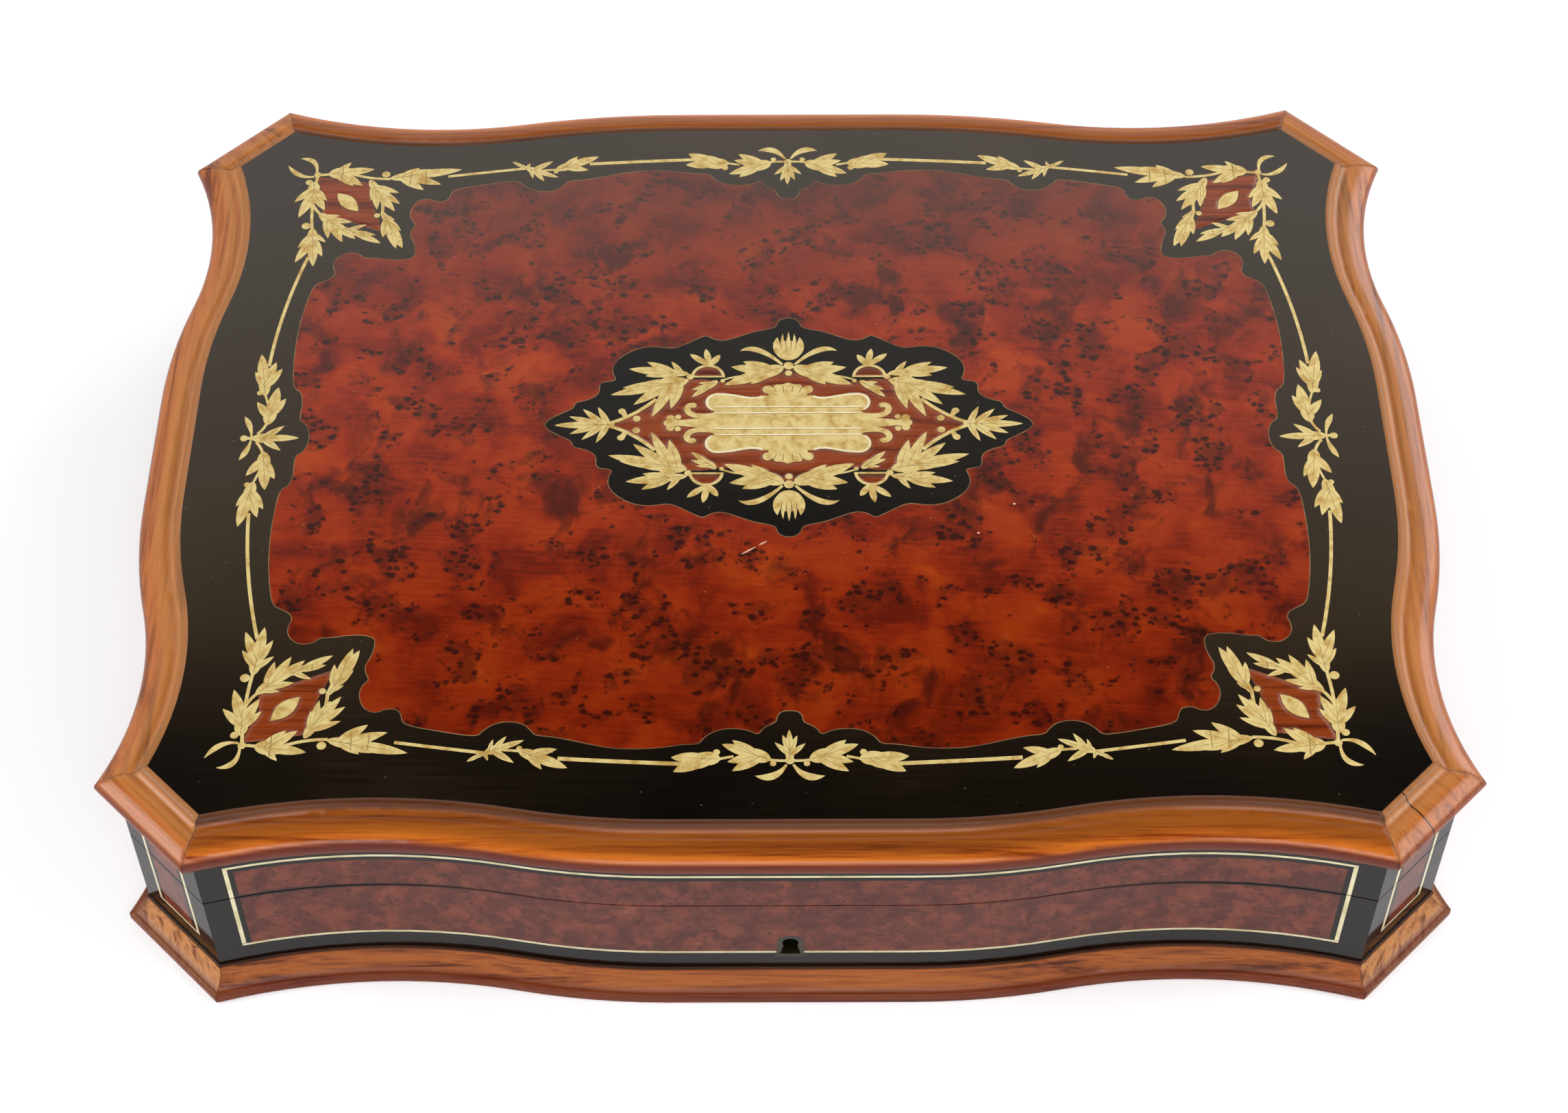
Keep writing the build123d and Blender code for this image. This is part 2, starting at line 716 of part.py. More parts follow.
# Lock bolt: a bar with two posts, each with a finger that slides through a staple of the lid
with BuildPart() as lock_bolt:
    bolt_plane = Plane(origin=(0, bolt_y + bolt_thickness / 2, 0), x_dir=(1, 0, 0), z_dir=(0, -1, 0))
    finger_length = bolt_travel + bolt_clearance
    with BuildSketch(bolt_plane):
        for place_x in staple_places:
            finger_end = place_x - staple_thickness / 2 - finger_clearance
            post_start = finger_end - finger_length - post_width
            with Locations((post_start, bar_top)):
                Rectangle(post_width, finger_rise + finger_height, align=(Align.MIN, Align.MIN))
            with Locations((post_start, finger_bottom)):
                Rectangle(post_width + finger_length, finger_height, align=(Align.MIN, Align.MIN))
        bar_start = staple_places[0] - staple_thickness / 2 - finger_clearance - finger_length - post_width
        bar_length = staple_places[1] + post_width - bar_start
        with Locations((bar_start, bar_bottom)):
            Rectangle(bar_length, bolt_bar_height, align=(Align.MIN, Align.MIN))
    extrude(amount=bolt_thickness)
save(lock_bolt, "lock_bolt")

# Pin on the lock plate that a hollow key turns on
with BuildPart() as lock_key_pin:
    with BuildSketch(Plane(origin=(0, plate_face_y, keyhole_height), x_dir=(1, 0, 0), z_dir=(0, -1, 0))):
        Circle(key_pin_radius)
    extrude(amount=key_pin_length)
    fillet(lock_key_pin.faces().sort_by(Axis.Y)[0].edges(), key_pin_radius / 3)
save(lock_key_pin, "lock_key_pin")

# Screws of the lock, pointing to the front
with BuildPart() as lock_screws:
    for x, height in lock_screw_places:
        with BuildSketch(Plane(origin=(x, -inner_half_width, height), x_dir=(1, 0, 0), z_dir=(0, 0, 1))):
            with BuildLine() as line:
                Polyline(
                    (0, 0),
                    (screw_radius, 0),
                    (screw_radius, screw_radius - lock_screw_length),
                    (0, -lock_screw_length),
                    close=True,
                )
            make_face(line.line)
        revolve(axis=Axis((x, 0, height), (0, 1, 0)))
    with BuildSketch(Plane(origin=(0, -inner_half_width, 0), x_dir=(1, 0, 0), z_dir=(0, -1, 0))):
        with Locations(*lock_screw_places):
            Rectangle(2 * screw_radius, screw_slot)
    extrude(amount=screw_head_height / 2, mode=Mode.SUBTRACT)
save(lock_screws, "lock_screws")

# Hinges: knuckles belong to the lower leaf and the upper leaf by turns, with a pin through all of them
knuckle_length = hinge_length / knuckle_count


def across_hinge(x):
    """Plane across the hinge axis at a distance along it."""
    return Plane(origin=(x, hinge_axis_y, hinge_axis_z), x_dir=(0, 1, 0), z_dir=(1, 0, 0))


def hinge_leaf(place_x, low, lower):
    """A leaf and its knuckles. Knuckles 0, 2 and 4 are the lower leaf's, 1 and 3 the upper leaf's."""
    first_start = place_x - hinge_length / 2 + knuckle_gap / 2
    own = [number for number in range(knuckle_count) if (number % 2 == 0) == lower]
    starts = [first_start + knuckle_length * number for number in own]
    with BuildSketch(Plane.XY.offset(low)) as leaf:
        with Locations((place_x, leaf_inner_y)):
            Rectangle(hinge_length, leaf_outer_y - leaf_inner_y, align=(Align.CENTER, Align.MIN))
        with Locations(*[(start, leaf_outer_y) for start in starts]):
            Rectangle(
                knuckle_length - knuckle_gap, hinge_axis_y - leaf_outer_y, align=(Align.MIN, Align.MIN)
            )
    extrude(leaf.sketch, amount=leaf_thickness)
    for start in starts:
        with BuildSketch(across_hinge(start)) as barrel:
            Circle(barrel_radius)
        extrude(barrel.sketch, amount=knuckle_length - knuckle_gap)
    with BuildSketch(across_hinge(place_x - hinge_length / 2)) as bore:
        Circle(hinge_pin_radius + pin_clearance)
    extrude(bore.sketch, amount=hinge_length, mode=Mode.SUBTRACT)


hinge_sides = [("left", hinge_places[0]), ("right", hinge_places[1])]
for side, place_x in hinge_sides:
    own_screws = [point for point in hinge_screw_places if abs(point[0] - place_x) < hinge_length]
    with BuildPart() as lower_leaf:
        hinge_leaf(place_x, carcass_height - leaf_thickness, True)
        cut_head_seats(own_screws, carcass_height, -1)
    save(lower_leaf, f"hinge_lower_leaf_{side}")
    with BuildPart() as upper_leaf:
        hinge_leaf(place_x, lid_bottom, False)
        cut_head_seats(own_screws, lid_bottom, 1)
    save(upper_leaf, f"hinge_upper_leaf_{side}")

with BuildPart() as hinge_pins:
    for side, place_x in hinge_sides:
        start = place_x - hinge_length / 2 - pin_end
        with BuildSketch(across_hinge(start)):
            Circle(hinge_pin_radius)
        extrude(amount=hinge_length + 2 * pin_end)
        for head_x in (start, start + hinge_length + pin_end):
            with BuildSketch(across_hinge(head_x)):
                Circle(pin_head_radius)
            extrude(amount=pin_end)
save(hinge_pins, "hinge_pins")

with BuildPart() as hinge_lower_screws:
    add_screws(hinge_screw_places, carcass_height, -1)
save(hinge_lower_screws, "hinge_lower_screws")

with BuildPart() as lid_screws:
    add_screws(hinge_screw_places + strike_screw_places, lid_bottom, 1)
save(lid_screws, "lid_screws")

# Fitted interior: a papered floor, two long partitions, two short ones that make three wells for cards
floor_top = base_board_thickness + lining
with BuildPart() as floor_lining:
    with BuildSketch(Plane.XY.offset(base_board_thickness)):
        Rectangle(2 * inner_half_length, 2 * inner_half_width)
    extrude(amount=lining)
save(floor_lining, "floor_lining")

long_partition_x = card_well_length / 2 + partition_thickness / 2
with BuildPart() as long_partitions:
    with BuildSketch(Plane.XY.offset(floor_top)):
        with Locations((-long_partition_x, 0), (long_partition_x, 0)):
            Rectangle(partition_thickness, 2 * inner_half_width)
    extrude(amount=partition_height)
    fillet(long_partitions.faces().group_by(Axis.Z)[-1].edges().filter_by(Axis.Y), partition_thickness / 3)
save(long_partitions, "long_partitions")

card_well_width = (2 * inner_half_width - 2 * partition_thickness) / 3
short_partition_y = card_well_width / 2 + partition_thickness / 2
with BuildPart() as short_partitions:
    with BuildSketch(Plane.XY.offset(floor_top)):
        with Locations((0, -short_partition_y), (0, short_partition_y)):
            Rectangle(card_well_length, partition_thickness)
    extrude(amount=partition_height - partition_thickness / 3)
    fillet(short_partitions.faces().group_by(Axis.Z)[-1].edges().filter_by(Axis.X), partition_thickness / 3)
save(short_partitions, "short_partitions")

# Four counter boxes, two on each side of the card wells, each a tray with a lift-off lid
counter_space = inner_half_length - card_well_length / 2 - partition_thickness
counter_length = counter_space - 2 * counter_clearance
counter_width = inner_half_width - 1.5 * counter_clearance
counter_x = inner_half_length - counter_space / 2
counter_y = counter_width / 2 + counter_clearance / 2
counter_places = {
    "front_left": (-counter_x, -counter_y),
    "front_right": (counter_x, -counter_y),
    "back_left": (-counter_x, counter_y),
    "back_right": (counter_x, counter_y),
}
for corner, middle in counter_places.items():
    with BuildPart() as counter_tray:
        with BuildSketch(Plane.XY.offset(floor_top)):
            with Locations(middle):
                Rectangle(counter_length, counter_width)
        extrude(amount=counter_tray_height)
        with BuildSketch(Plane.XY.offset(floor_top + counter_floor)):
            with Locations(middle):
                Rectangle(counter_length - 2 * counter_wall, counter_width - 2 * counter_wall)
        extrude(amount=counter_tray_height, mode=Mode.SUBTRACT)
    save(counter_tray, f"counter_tray_{corner}")
    with BuildPart() as counter_lid:
        with BuildSketch(Plane.XY.offset(floor_top + counter_tray_height)):
            with Locations(middle):
                Rectangle(counter_length, counter_width)
        extrude(amount=counter_lid_height)
        chamfer(counter_lid.faces().sort_by(Axis.Z)[-1].edges(), counter_lid_chamfer)
        with BuildSketch(Plane.XY.offset(floor_top + counter_tray_height)):
            with Locations(middle):
                Rectangle(
                    counter_length - 2 * (counter_wall + tongue_clearance),
                    counter_width - 2 * (counter_wall + tongue_clearance),
                )
        extrude(amount=-counter_tongue)
    save(counter_lid, f"counter_lid_{corner}")

# Lid rails and corner blocks, with seats for the strike plate and the upper hinge leaves
for face in waved_faces:
    with BuildPart() as lid_rail:
        with BuildSketch(Plane.XY.offset(lid_bottom)):
            wall_plan(face)
        extrude(amount=lid_rail_height)
        if face[0] == "front":
            with BuildSketch(Plane.XY.offset(lid_bottom)):
                with Locations((0, strike_y)):
                    Rectangle(strike_length + 2 * lock_fit, strike_width + 2 * lock_fit)
            extrude(amount=lock_plate, mode=Mode.SUBTRACT)
            cut_pilot_holes(strike_screw_places, lid_bottom, 1)
        if face[0] == "back":
            cut_leaf_recesses(lid_bottom)
            cut_pilot_holes(hinge_screw_places, lid_bottom, 1)
    save(lid_rail, f"lid_rail_{face[0]}")

with BuildPart() as lid_corner_blocks:
    for number in range(4):
        with BuildSketch(Plane.XY.offset(lid_bottom)):
            corner_plan(number)
        extrude(amount=lid_rail_height)
save(lid_corner_blocks, "lid_corner_blocks")

with BuildPart() as lid_board:
    with BuildSketch(Plane.XY.offset(lid_rail_top)):
        case_outline(lid_moulding_width)
    extrude(amount=lid_board_thickness)
save(lid_board, "lid_board")

with BuildPart() as lid_lining:
    with BuildSketch(Plane.XY.offset(lid_rail_top - lining)):
        Rectangle(2 * inner_half_length, 2 * inner_half_width)
    extrude(amount=lining)
save(lid_lining, "lid_lining")

# Strike plate in the lid's front rail, with two staples that drop into the lock
with BuildPart() as strike_plate:
    with BuildSketch(Plane.XY.offset(lid_bottom)):
        with Locations((0, strike_y)):
            Rectangle(strike_length, strike_width)
    extrude(amount=lock_plate)
    with BuildSketch(Plane.XY.offset(staple_bottom)):
        with Locations(*[(place_x, strike_y) for place_x in staple_places]):
            Rectangle(staple_thickness, staple_depth)
    extrude(amount=lid_bottom - staple_bottom)
    with BuildSketch(Plane(origin=(-staple_spread, 0, 0), x_dir=(0, 1, 0), z_dir=(1, 0, 0))):
        with Locations((strike_y, finger_bottom + finger_height / 2)):
            Rectangle(bolt_thickness + 2 * staple_hole_fit, finger_height + 2 * staple_hole_fit)
    extrude(amount=2 * staple_spread, mode=Mode.SUBTRACT)
    cut_head_seats(strike_screw_places, lid_bottom, 1)
save(strike_plate, "strike_plate")

# Marquetry of the top. A point of the drawing is given in one quarter and mirrored into the others.
panel_half_length = edge_points(waved_faces[1], lid_moulding_width)[0][0]
panel_half_width = edge_points(waved_faces[2], lid_moulding_width)[0][1]
stretch_x = 2 * panel_half_length / drawn_panel_length
stretch_y = 2 * panel_half_width / drawn_panel_width
quarters = [(1, 1), (-1, 1), (-1, -1), (1, -1)]


def at(x, y, quarter, shift):
    """A drawn point in its real place on the panel, in one of the four quarters."""
    return (x * quarter[0] * stretch_x, (y * quarter[1] + shift) * stretch_y)


def arc_between(start, end, bulge, turn):
    """A straight or bowed line; a positive bulge bows it away from the middle of the figure."""
    if bulge:
        SagittaArc(start, end, -bulge * turn)
    else:
        Line(start, end)


def mirrored_outline(drawing, shift):
    """Face inside an outline drawn in one quarter, from the x axis to the y axis, mirrored into all four.

    Each entry is a point and the bulge of the line that follows it.
    """
    with BuildLine() as line:
        for quarter in quarters:
            turn = quarter[0] * quarter[1]
            for (start, bulge), (end, _) in zip(drawing, drawing[1:]):
                arc_between(at(*start, quarter, shift), at(*end, quarter, shift), bulge, turn)
    make_face(line.line)


# Burr field: lobed where the ebony bulges round the sprays, with knobs at the middles
burr_field_drawing = [
    ((121.5, 0.0), -0.4),
    ((125.9, 7.2), 0.8),
    ((130.3, 34.8), 1.2),
    ((127.6, 53.7), -0.8),
    ((123.1, 54.8), -0.6),
    ((123.1, 60.4), 1.4),
    ((118.7, 64.8), 0.9),
    ((111.5, 64.0), 0.6),
    ((100.9, 63.7), 0.0),
    ((100.9, 82.6), 0.8),
    ((93.1, 84.3), 0.6),
    ((92.6, 89.3), 1.2),
    ((72.6, 91.5), -4.4),
    ((60.9, 93.2), 1.3),
    ((30.9, 96.5), -2.2),
    ((19.8, 94.8), -2.6),
    ((5.3, 90.4), -0.6),
    ((3.5, 87.0), -3.4),
    ((0.0, 83.5), 0.0),
]
# Cartouche: the ebony shape in the middle of the field, pointed at its ends, with knobs above and below
cartouche_drawing = [
    ((65.0, 0.0), 0.7),
    ((57.4, 6.0), -1.4),
    ((50.9, 14.6), -0.3),
    ((45.7, 15.6), 2.6),
    ((43.6, 24.2), 1.9),
    ((31.5, 26.2), -0.6),
    ((22.3, 31.0), -1.0),
    ((14.5, 29.8), 0.6),
    ((3.2, 33.0), 1.4),
    ((2.9, 36.7), 1.0),
    ((0.0, 37.9), 0.0),
]
red_drawing = [
    ((46.0, 0.0), 0.0),
    ((35.5, 7.2), 0.0),
    ((27.6, 15.4), -0.6),
    ((17.2, 14.4), -0.5),
    ((8.2, 15.2), -1.0),
    ((0.0, 19.8), 0.0),
]
ring_place = (21.4, 18.4)
ring_radius = 4.2
ring_line = 0.9
corner_red = [((131.0, 93.5), 1.2), ((115.8, 92.6), -1.0), ((111.4, 74.3), 1.2), ((127.8, 80.6), -1.0)]

# A spray: where it springs from, where it points, and half its width
cartouche_axis_sprays = [((45.9, 0.0), (61.4, 0.0), 6.2), ((0.0, 22.4), (0.0, 32.8), 3.8)]
cartouche_sprays = [
    ((28.0, 13.9), (46.4, 9.8), 4.6),
    ((25.6, 18.6), (42.8, 18.5), 4.0),
    ((18.4, 16.0), (24.8, 11.0), 2.4),
    ((1.2, 19.2), (17.4, 14.6), 4.2),
    ((21.8, 22.4), (22.6, 27.4), 2.6),
    ((2.6, 21.6), (12.4, 26.8), 1.5),
    ((27.6, 12.4), (35.6, 3.6), 3.0),
]
corner_sprays = [
    ((131.2, 91.0), (133.2, 78.5), 4.0),
    ((129.8, 73.2), (130.6, 61.2), 4.0),
    ((129.0, 78.0), (118.0, 70.6), 3.6),
    ((118.4, 74.4), (111.4, 68.2), 2.0),
    ((111.4, 79.0), (104.6, 67.2), 3.4),
    ((110.9, 91.4), (107.2, 80.6), 3.2),
    ((114.9, 92.4), (113.6, 83.6), 1.8),
    ((129.0, 94.9), (115.3, 97.0), 4.0),
    ((130.8, 95.6), (138.3, 98.2), 1.5),
    ((131.0, 96.2), (134.8, 101.6), 1.2),
]
border_sprays = [
    ((109.4, 93.2), (90.9, 97.2), 3.8),
    ((72.2, 98.8), (63.4, 96.2), 3.0),
    ((64.0, 98.0), (52.0, 102.6), 3.0),
    ((17.0, 99.6), (26.6, 103.6), 3.0),
    ((2.6, 99.0), (15.6, 97.8), 4.2),
    ((1.4, 103.4), (7.6, 105.8), 1.3),
    ((134.9, 14.4), (136.3, 28.4), 3.8),
    ((133.9, 3.4), (134.2, 14.0), 3.4),
]
border_axis_sprays = [((0.0, 103.6), (0.0, 92.4), 3.2), ((139.2, 0.0), (126.6, 0.0), 2.6)]
# A line: its ends and how far it is bowed
border_lines = [
    ((95.4, 93.6), (72.0, 97.0), 0.0),
    ((54.2, 99.8), (24.2, 102.0), 0.0),
    ((130.6, 63.6), (136.1, 28.0), 0.9),
]
corner_dots = [(131.8, 74.4), (111.4, 94.8)]
border_dots = [(16.9, 98.9)]
cartouche_dots = [(43.6, 4.6), (40.0, 2.4)]
dot_radius = 1.1
# The plaque: a plate, two long ears with a shell between their scrolls, and a stem to a fleuron on each side
plaque_length = 41.0
plaque_height = 9.6
ear_length = 43.4
ear_height = 5.6
ear_rise = 7.6
shell_length = 12.8
shell_height = 6.8
shell_rise = 9.6
stem_length = 10.4
stem_width = 2.2
stem_middle = 25.6
fleuron_reach = 30.6
fleuron_radius = 1.9
curl_place = (25.2, 5.0)
curl_radius = 1.5
curl_root = (20.4, 2.2)
curl_width = 1.5
oval_place = (120.8, 84.5)
oval_length = 7.6
oval_width = 3.6


def spray(base, tip, half_width):
    """Leaf of five lobes from its base to its tip, as a face in the current sketch."""
    length = hypot(tip[0] - base[0], tip[1] - base[1])
    ahead = ((tip[0] - base[0]) / length, (tip[1] - base[1]) / length)

    def leaf_point(share, across):
        forward = share * length
        side = across * half_width
        return (
            base[0] + forward * ahead[0] - side * ahead[1],
            base[1] + forward * ahead[1] + side * ahead[0],
        )

    lobes = [(0.0, 0.0), (0.5, 1.0), (0.47, 0.42), (0.82, 0.66), (0.76, 0.24), (1.0, 0.0)]
    bulges = [0.14, 0.05, 0.1, 0.05, 0.08]
    with BuildLine() as line:
        for hand in (-1, 1):
            for (start, end, bulge) in zip(lobes, lobes[1:], bulges):
                first = leaf_point(start[0], hand * start[1])
                last = leaf_point(end[0], hand * end[1])
                chord = hypot(last[0] - first[0], last[1] - first[1])
                SagittaArc(first, last, hand * bulge * chord)
    make_face(line.line)


def bar(start, end, width, bow):
    """Thin brass line between two points, bowed or straight."""
    with BuildLine() as middle:
        arc_between(start, end, bow, 1)
    trace(middle.line, width)


def draw_cartouche_brass():
    """Draws the plaque, scrolls, sprays, rings and dots of the cartouche."""
    above_and_below = [(1, 1), (1, -1)]
    with Locations(at(0, 0, (1, 1), cartouche_shift)):
        Rectangle(plaque_length, plaque_height)
    with Locations(*[at(0, ear_rise, quarter, cartouche_shift) for quarter in above_and_below]):
        SlotOverall(ear_length, ear_height)
    with Locations(*[at(0, shell_rise, quarter, cartouche_shift) for quarter in above_and_below]):
        Ellipse(shell_length / 2, shell_height / 2)
    with Locations(*[at(stem_middle, 0, quarter, cartouche_shift) for quarter in quarters[:2]]):
        Rectangle(stem_length, stem_width)
    with Locations(*[at(fleuron_reach, 0, quarter, cartouche_shift) for quarter in quarters[:2]]):
        Circle(fleuron_radius)
    with Locations(*[at(*curl_place, quarter, cartouche_shift) for quarter in quarters]):
        Circle(curl_radius)
    for quarter in quarters:
        root = at(*curl_root, quarter, cartouche_shift)
        curl = at(*curl_place, quarter, cartouche_shift)
        bar(root, curl, curl_width, 0.0)
        for base, tip, half_width in cartouche_sprays:
            spray(at(*base, quarter, cartouche_shift), at(*tip, quarter, cartouche_shift), half_width)
    for base, tip, half_width in cartouche_axis_sprays:
        for quarter in (quarters[0], quarters[2]):
            spray(at(*base, quarter, cartouche_shift), at(*tip, quarter, cartouche_shift), half_width)
    with Locations(*[at(*ring_place, quarter, cartouche_shift) for quarter in quarters]):
        Circle(ring_radius)
        Circle(ring_radius - ring_line, mode=Mode.SUBTRACT)
    with Locations(*[at(*dot, quarter, cartouche_shift) for dot in cartouche_dots for quarter in quarters]):
        Circle(dot_radius)


def draw_corner_brass():
    """Draws the sprays, oval and dots that surround the red lozenge of each corner."""
    for quarter in quarters:
        for base, tip, half_width in corner_sprays:
            spray(at(*base, quarter, border_shift), at(*tip, quarter, border_shift), half_width)
        slope = 45 * quarter[0] * quarter[1]
        with Locations(Location((*at(*oval_place, quarter, border_shift), 0), (0, 0, slope))):
            Ellipse(oval_length / 2, oval_width / 2)
        with Locations(*[at(*dot, quarter, border_shift) for dot in corner_dots]):
            Circle(dot_radius)


def draw_border_brass():
    """Draws the lines between the corners and the sprays at the middles of the sides."""
    for quarter in quarters:
        for base, tip, half_width in border_sprays:
            spray(at(*base, quarter, border_shift), at(*tip, quarter, border_shift), half_width)
        for start, end, bow in border_lines:
            turn = quarter[0] * quarter[1]
            bar(at(*start, quarter, border_shift), at(*end, quarter, border_shift), brass_line, bow * turn)
        with Locations(*[at(*dot, quarter, border_shift) for dot in border_dots]):
            Circle(dot_radius)
    for base, tip, half_width in border_axis_sprays:
        for quarter in (quarters[0], quarters[2]):
            spray(at(*base, quarter, border_shift), at(*tip, quarter, border_shift), half_width)


with BuildSketch() as cartouche_brass_plan:
    draw_cartouche_brass()
with BuildSketch() as corner_brass_plan:
    draw_corner_brass()
with BuildSketch() as border_brass_plan:
    draw_border_brass()
    add(corner_brass_plan.sketch, mode=Mode.SUBTRACT)
with BuildSketch() as cartouche_plan:
    mirrored_outline(cartouche_drawing, cartouche_shift)
with BuildSketch() as burr_plan:
    mirrored_outline(burr_field_drawing, border_shift)
    add(cartouche_plan.sketch, mode=Mode.SUBTRACT)
with BuildSketch() as red_plan:
    mirrored_outline(red_drawing, cartouche_shift)
    with Locations(*[at(*ring_place, quarter, cartouche_shift) for quarter in quarters]):
        Circle(ring_radius - ring_line)
    for quarter in quarters:
        turn = quarter[0] * quarter[1]
        with BuildLine() as line:
            for (start, bulge), (end, _) in zip(corner_red, corner_red[1:] + corner_red[:1]):
                arc_between(
                    at(*start, quarter, border_shift), at(*end, quarter, border_shift), bulge, turn
                )
        make_face(line.line)
    add(cartouche_brass_plan.sketch, mode=Mode.SUBTRACT)
    add(corner_brass_plan.sketch, mode=Mode.SUBTRACT)
with BuildSketch() as ebony_plan:
    case_outline(lid_moulding_width)
    for other in (burr_plan, red_plan, cartouche_brass_plan, corner_brass_plan, border_brass_plan):
        add(other.sketch, mode=Mode.SUBTRACT)

top_layers = [
    ("lid_ebony_ground", ebony_plan),
    ("lid_burr_field", burr_plan),
    ("lid_red_grounds", red_plan),
    ("cartouche_brass", cartouche_brass_plan),
    ("corner_brass", corner_brass_plan),
    ("border_brass", border_brass_plan),
]
for name, plan in top_layers:
    with BuildPart() as layer:
        with BuildSketch(Plane.XY.offset(lid_board_top)):
            add(plan.sketch)
        extrude(amount=veneer)
    save(layer, name)
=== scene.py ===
# Looks of an antique games box: burr wood, ebonised borders and engraved brass under French polish.
# Lengths below are millimetres unless a line says otherwise; mm() turns them into Blender's metres.
import math
import random

import bpy
from mathutils import Matrix, Vector
from mathutils.geometry import delaunay_2d_cdt


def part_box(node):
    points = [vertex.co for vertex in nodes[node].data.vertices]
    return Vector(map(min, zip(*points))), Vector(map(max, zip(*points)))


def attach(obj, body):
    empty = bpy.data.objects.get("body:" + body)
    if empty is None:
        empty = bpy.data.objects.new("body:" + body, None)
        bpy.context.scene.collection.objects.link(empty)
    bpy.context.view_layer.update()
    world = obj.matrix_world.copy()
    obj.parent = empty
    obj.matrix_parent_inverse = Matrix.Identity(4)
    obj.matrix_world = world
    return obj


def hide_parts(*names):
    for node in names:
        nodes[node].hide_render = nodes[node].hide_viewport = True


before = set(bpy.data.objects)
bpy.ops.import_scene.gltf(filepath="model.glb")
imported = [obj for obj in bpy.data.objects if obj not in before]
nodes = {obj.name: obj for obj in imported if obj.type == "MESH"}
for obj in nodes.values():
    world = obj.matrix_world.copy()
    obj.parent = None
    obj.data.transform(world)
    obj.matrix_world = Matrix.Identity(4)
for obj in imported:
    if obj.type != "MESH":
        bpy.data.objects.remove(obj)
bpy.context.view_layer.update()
print("frame loaded:", len(nodes), "nodes")

rgba = {"data_type": "RGBA"}
smooth = {"interpolation_type": "SMOOTHSTEP"}
multiplyAdd = {"operation": "MULTIPLY_ADD"}
multiply = {"operation": "MULTIPLY"}
subtract = {"operation": "SUBTRACT"}


def mm(length):
    return length / 1000.0


def linearColour(hexCode):
    # an sRGB hex colour as the linear colour that the shaders use
    parts = [int(hexCode[i : i + 2], 16) / 255 for i in (1, 3, 5)]
    return tuple(c / 12.92 if c <= 0.04045 else ((c + 0.055) / 1.055) ** 2.4 for c in parts) + (1.0,)


def plugIn(tree, node, inputs):
    for name, value in inputs.items():
        if isinstance(value, bpy.types.NodeSocket):
            tree.links.new(value, node.inputs[name])
        else:
            node.inputs[name].default_value = linearColour(value) if isinstance(value, str) else value


def addNode(tree, kind, inputs, settings=None, output=0):
    # a node with its settings and links; gives back the socket that is used next
    node = tree.nodes.new("ShaderNode" + kind)
    for name, value in (settings or {}).items():
        if name == "stops":
            ramp = node.color_ramp
            for index, (position, hexCode) in enumerate(value):
                element = ramp.elements[index] if index < 2 else ramp.elements.new(position)
                element.position = position
                element.color = linearColour(hexCode)
        else:
            setattr(node, name, value)
    plugIn(tree, node, inputs)
    return node.outputs[output] if node.outputs else None


def startMaterial(name, shaderInputs):
    # a Principled shader and the place on the piece, in metres, that every pattern starts from
    material = bpy.data.materials.new(name)
    material.use_nodes = True
    tree = material.node_tree
    tree.nodes.clear()
    surface = addNode(tree, "BsdfPrincipled", shaderInputs)
    addNode(tree, "OutputMaterial", {"Surface": surface})
    return material, tree, surface.node, addNode(tree, "TexCoord", {}, None, "Object")


def endMaterial(tree, shader, colour, height, strength, depth):
    # the colour, and a relief of this depth in millimetres
    bump = addNode(tree, "Bump", {"Height": height, "Strength": strength, "Distance": mm(depth)})
    plugIn(tree, shader, {"Base Color": colour, "Normal": bump})


def grainPlace(tree, place, turn, along, across):
    # the place turned so that its x runs with the grain, and divided by the figure's length and width
    turned = addNode(tree, "Mapping", {"Vector": place, "Rotation": (0, 0, math.radians(turn))})
    scale = (1 / mm(along), 1 / mm(across), 1 / mm(across))
    return addNode(tree, "Mapping", {"Vector": turned, "Scale": scale})


def awayFrom(tree, value, distance):
    # how far a value lies from a distance, on either side of it
    beyond = addNode(tree, "Math", {0: value, 1: distance}, subtract)
    return addNode(tree, "Math", {0: beyond}, {"operation": "ABSOLUTE"})


def zoned(tree, place, axis, colour, zones):
    # a zone is where it starts and is full along the axis, its share there, and its colour
    along = addNode(tree, "SeparateXYZ", {0: place}, None, axis)
    for start, full, share, hexCode in zones:
        zone = addNode(tree, "MapRange", {0: along, 1: mm(start), 2: mm(full), 4: share}, smooth)
        colour = addNode(tree, "Mix", {0: zone, 6: colour, 7: hexCode}, rgba, 2)
    return colour


def shellac(coat, gloss):
    # the shine comes from the clear polish alone, not from the wood under it
    return {"Roughness": 0.5, "Specular IOR Level": 0.0, "Coat Weight": coat, "Coat Roughness": gloss}


# French-polished hardwood: a clear shellac gloss over straight orange-brown grain with darker streaks
lidMouldingLook = {
    "light": "#B86420",
    "middle": "#A05018",
    "dark": "#74300C",
    "streakLength": 120.0,
    "streakWidth": 3.2,
    "grainLength": 12.0,
    "grainWidth": 0.55,
    "coat": 0.62,
    "gloss": 0.14,
    "wear": 1.6,  # how far the creases have been rubbed round
    "zones": [
        (60.9, 59.9, 0.9, "#4A0E06"),  # painted shade, dark red, on and under the rounded nose
        (60.9, 62.1, 0.55, "#482810"),  # the brown inner half of the slope
        (62.2, 63.3, 0.7, "#2E180C"),  # the hollow beside the panel, dark with old wax
    ],
    "joint": None,
}
# End and cant mouldings: a lighter copy of the lid's wood, painted light for the side light they catch;
# painted shade under the nose, a painted sheen on the inner slope, and the hollow beside the panel darker
# with old wax
litEndMouldingLook = dict(
    lidMouldingLook, light="#A8602C", middle="#8C4A1C", dark="#602E12",
    zones=[(60.8, 59.8, 0.65, "#62200E"), (61.6, 62.4, 0.5, "#AC7844"), (62.7, 63.4, 0.35, "#6C4428")],
)
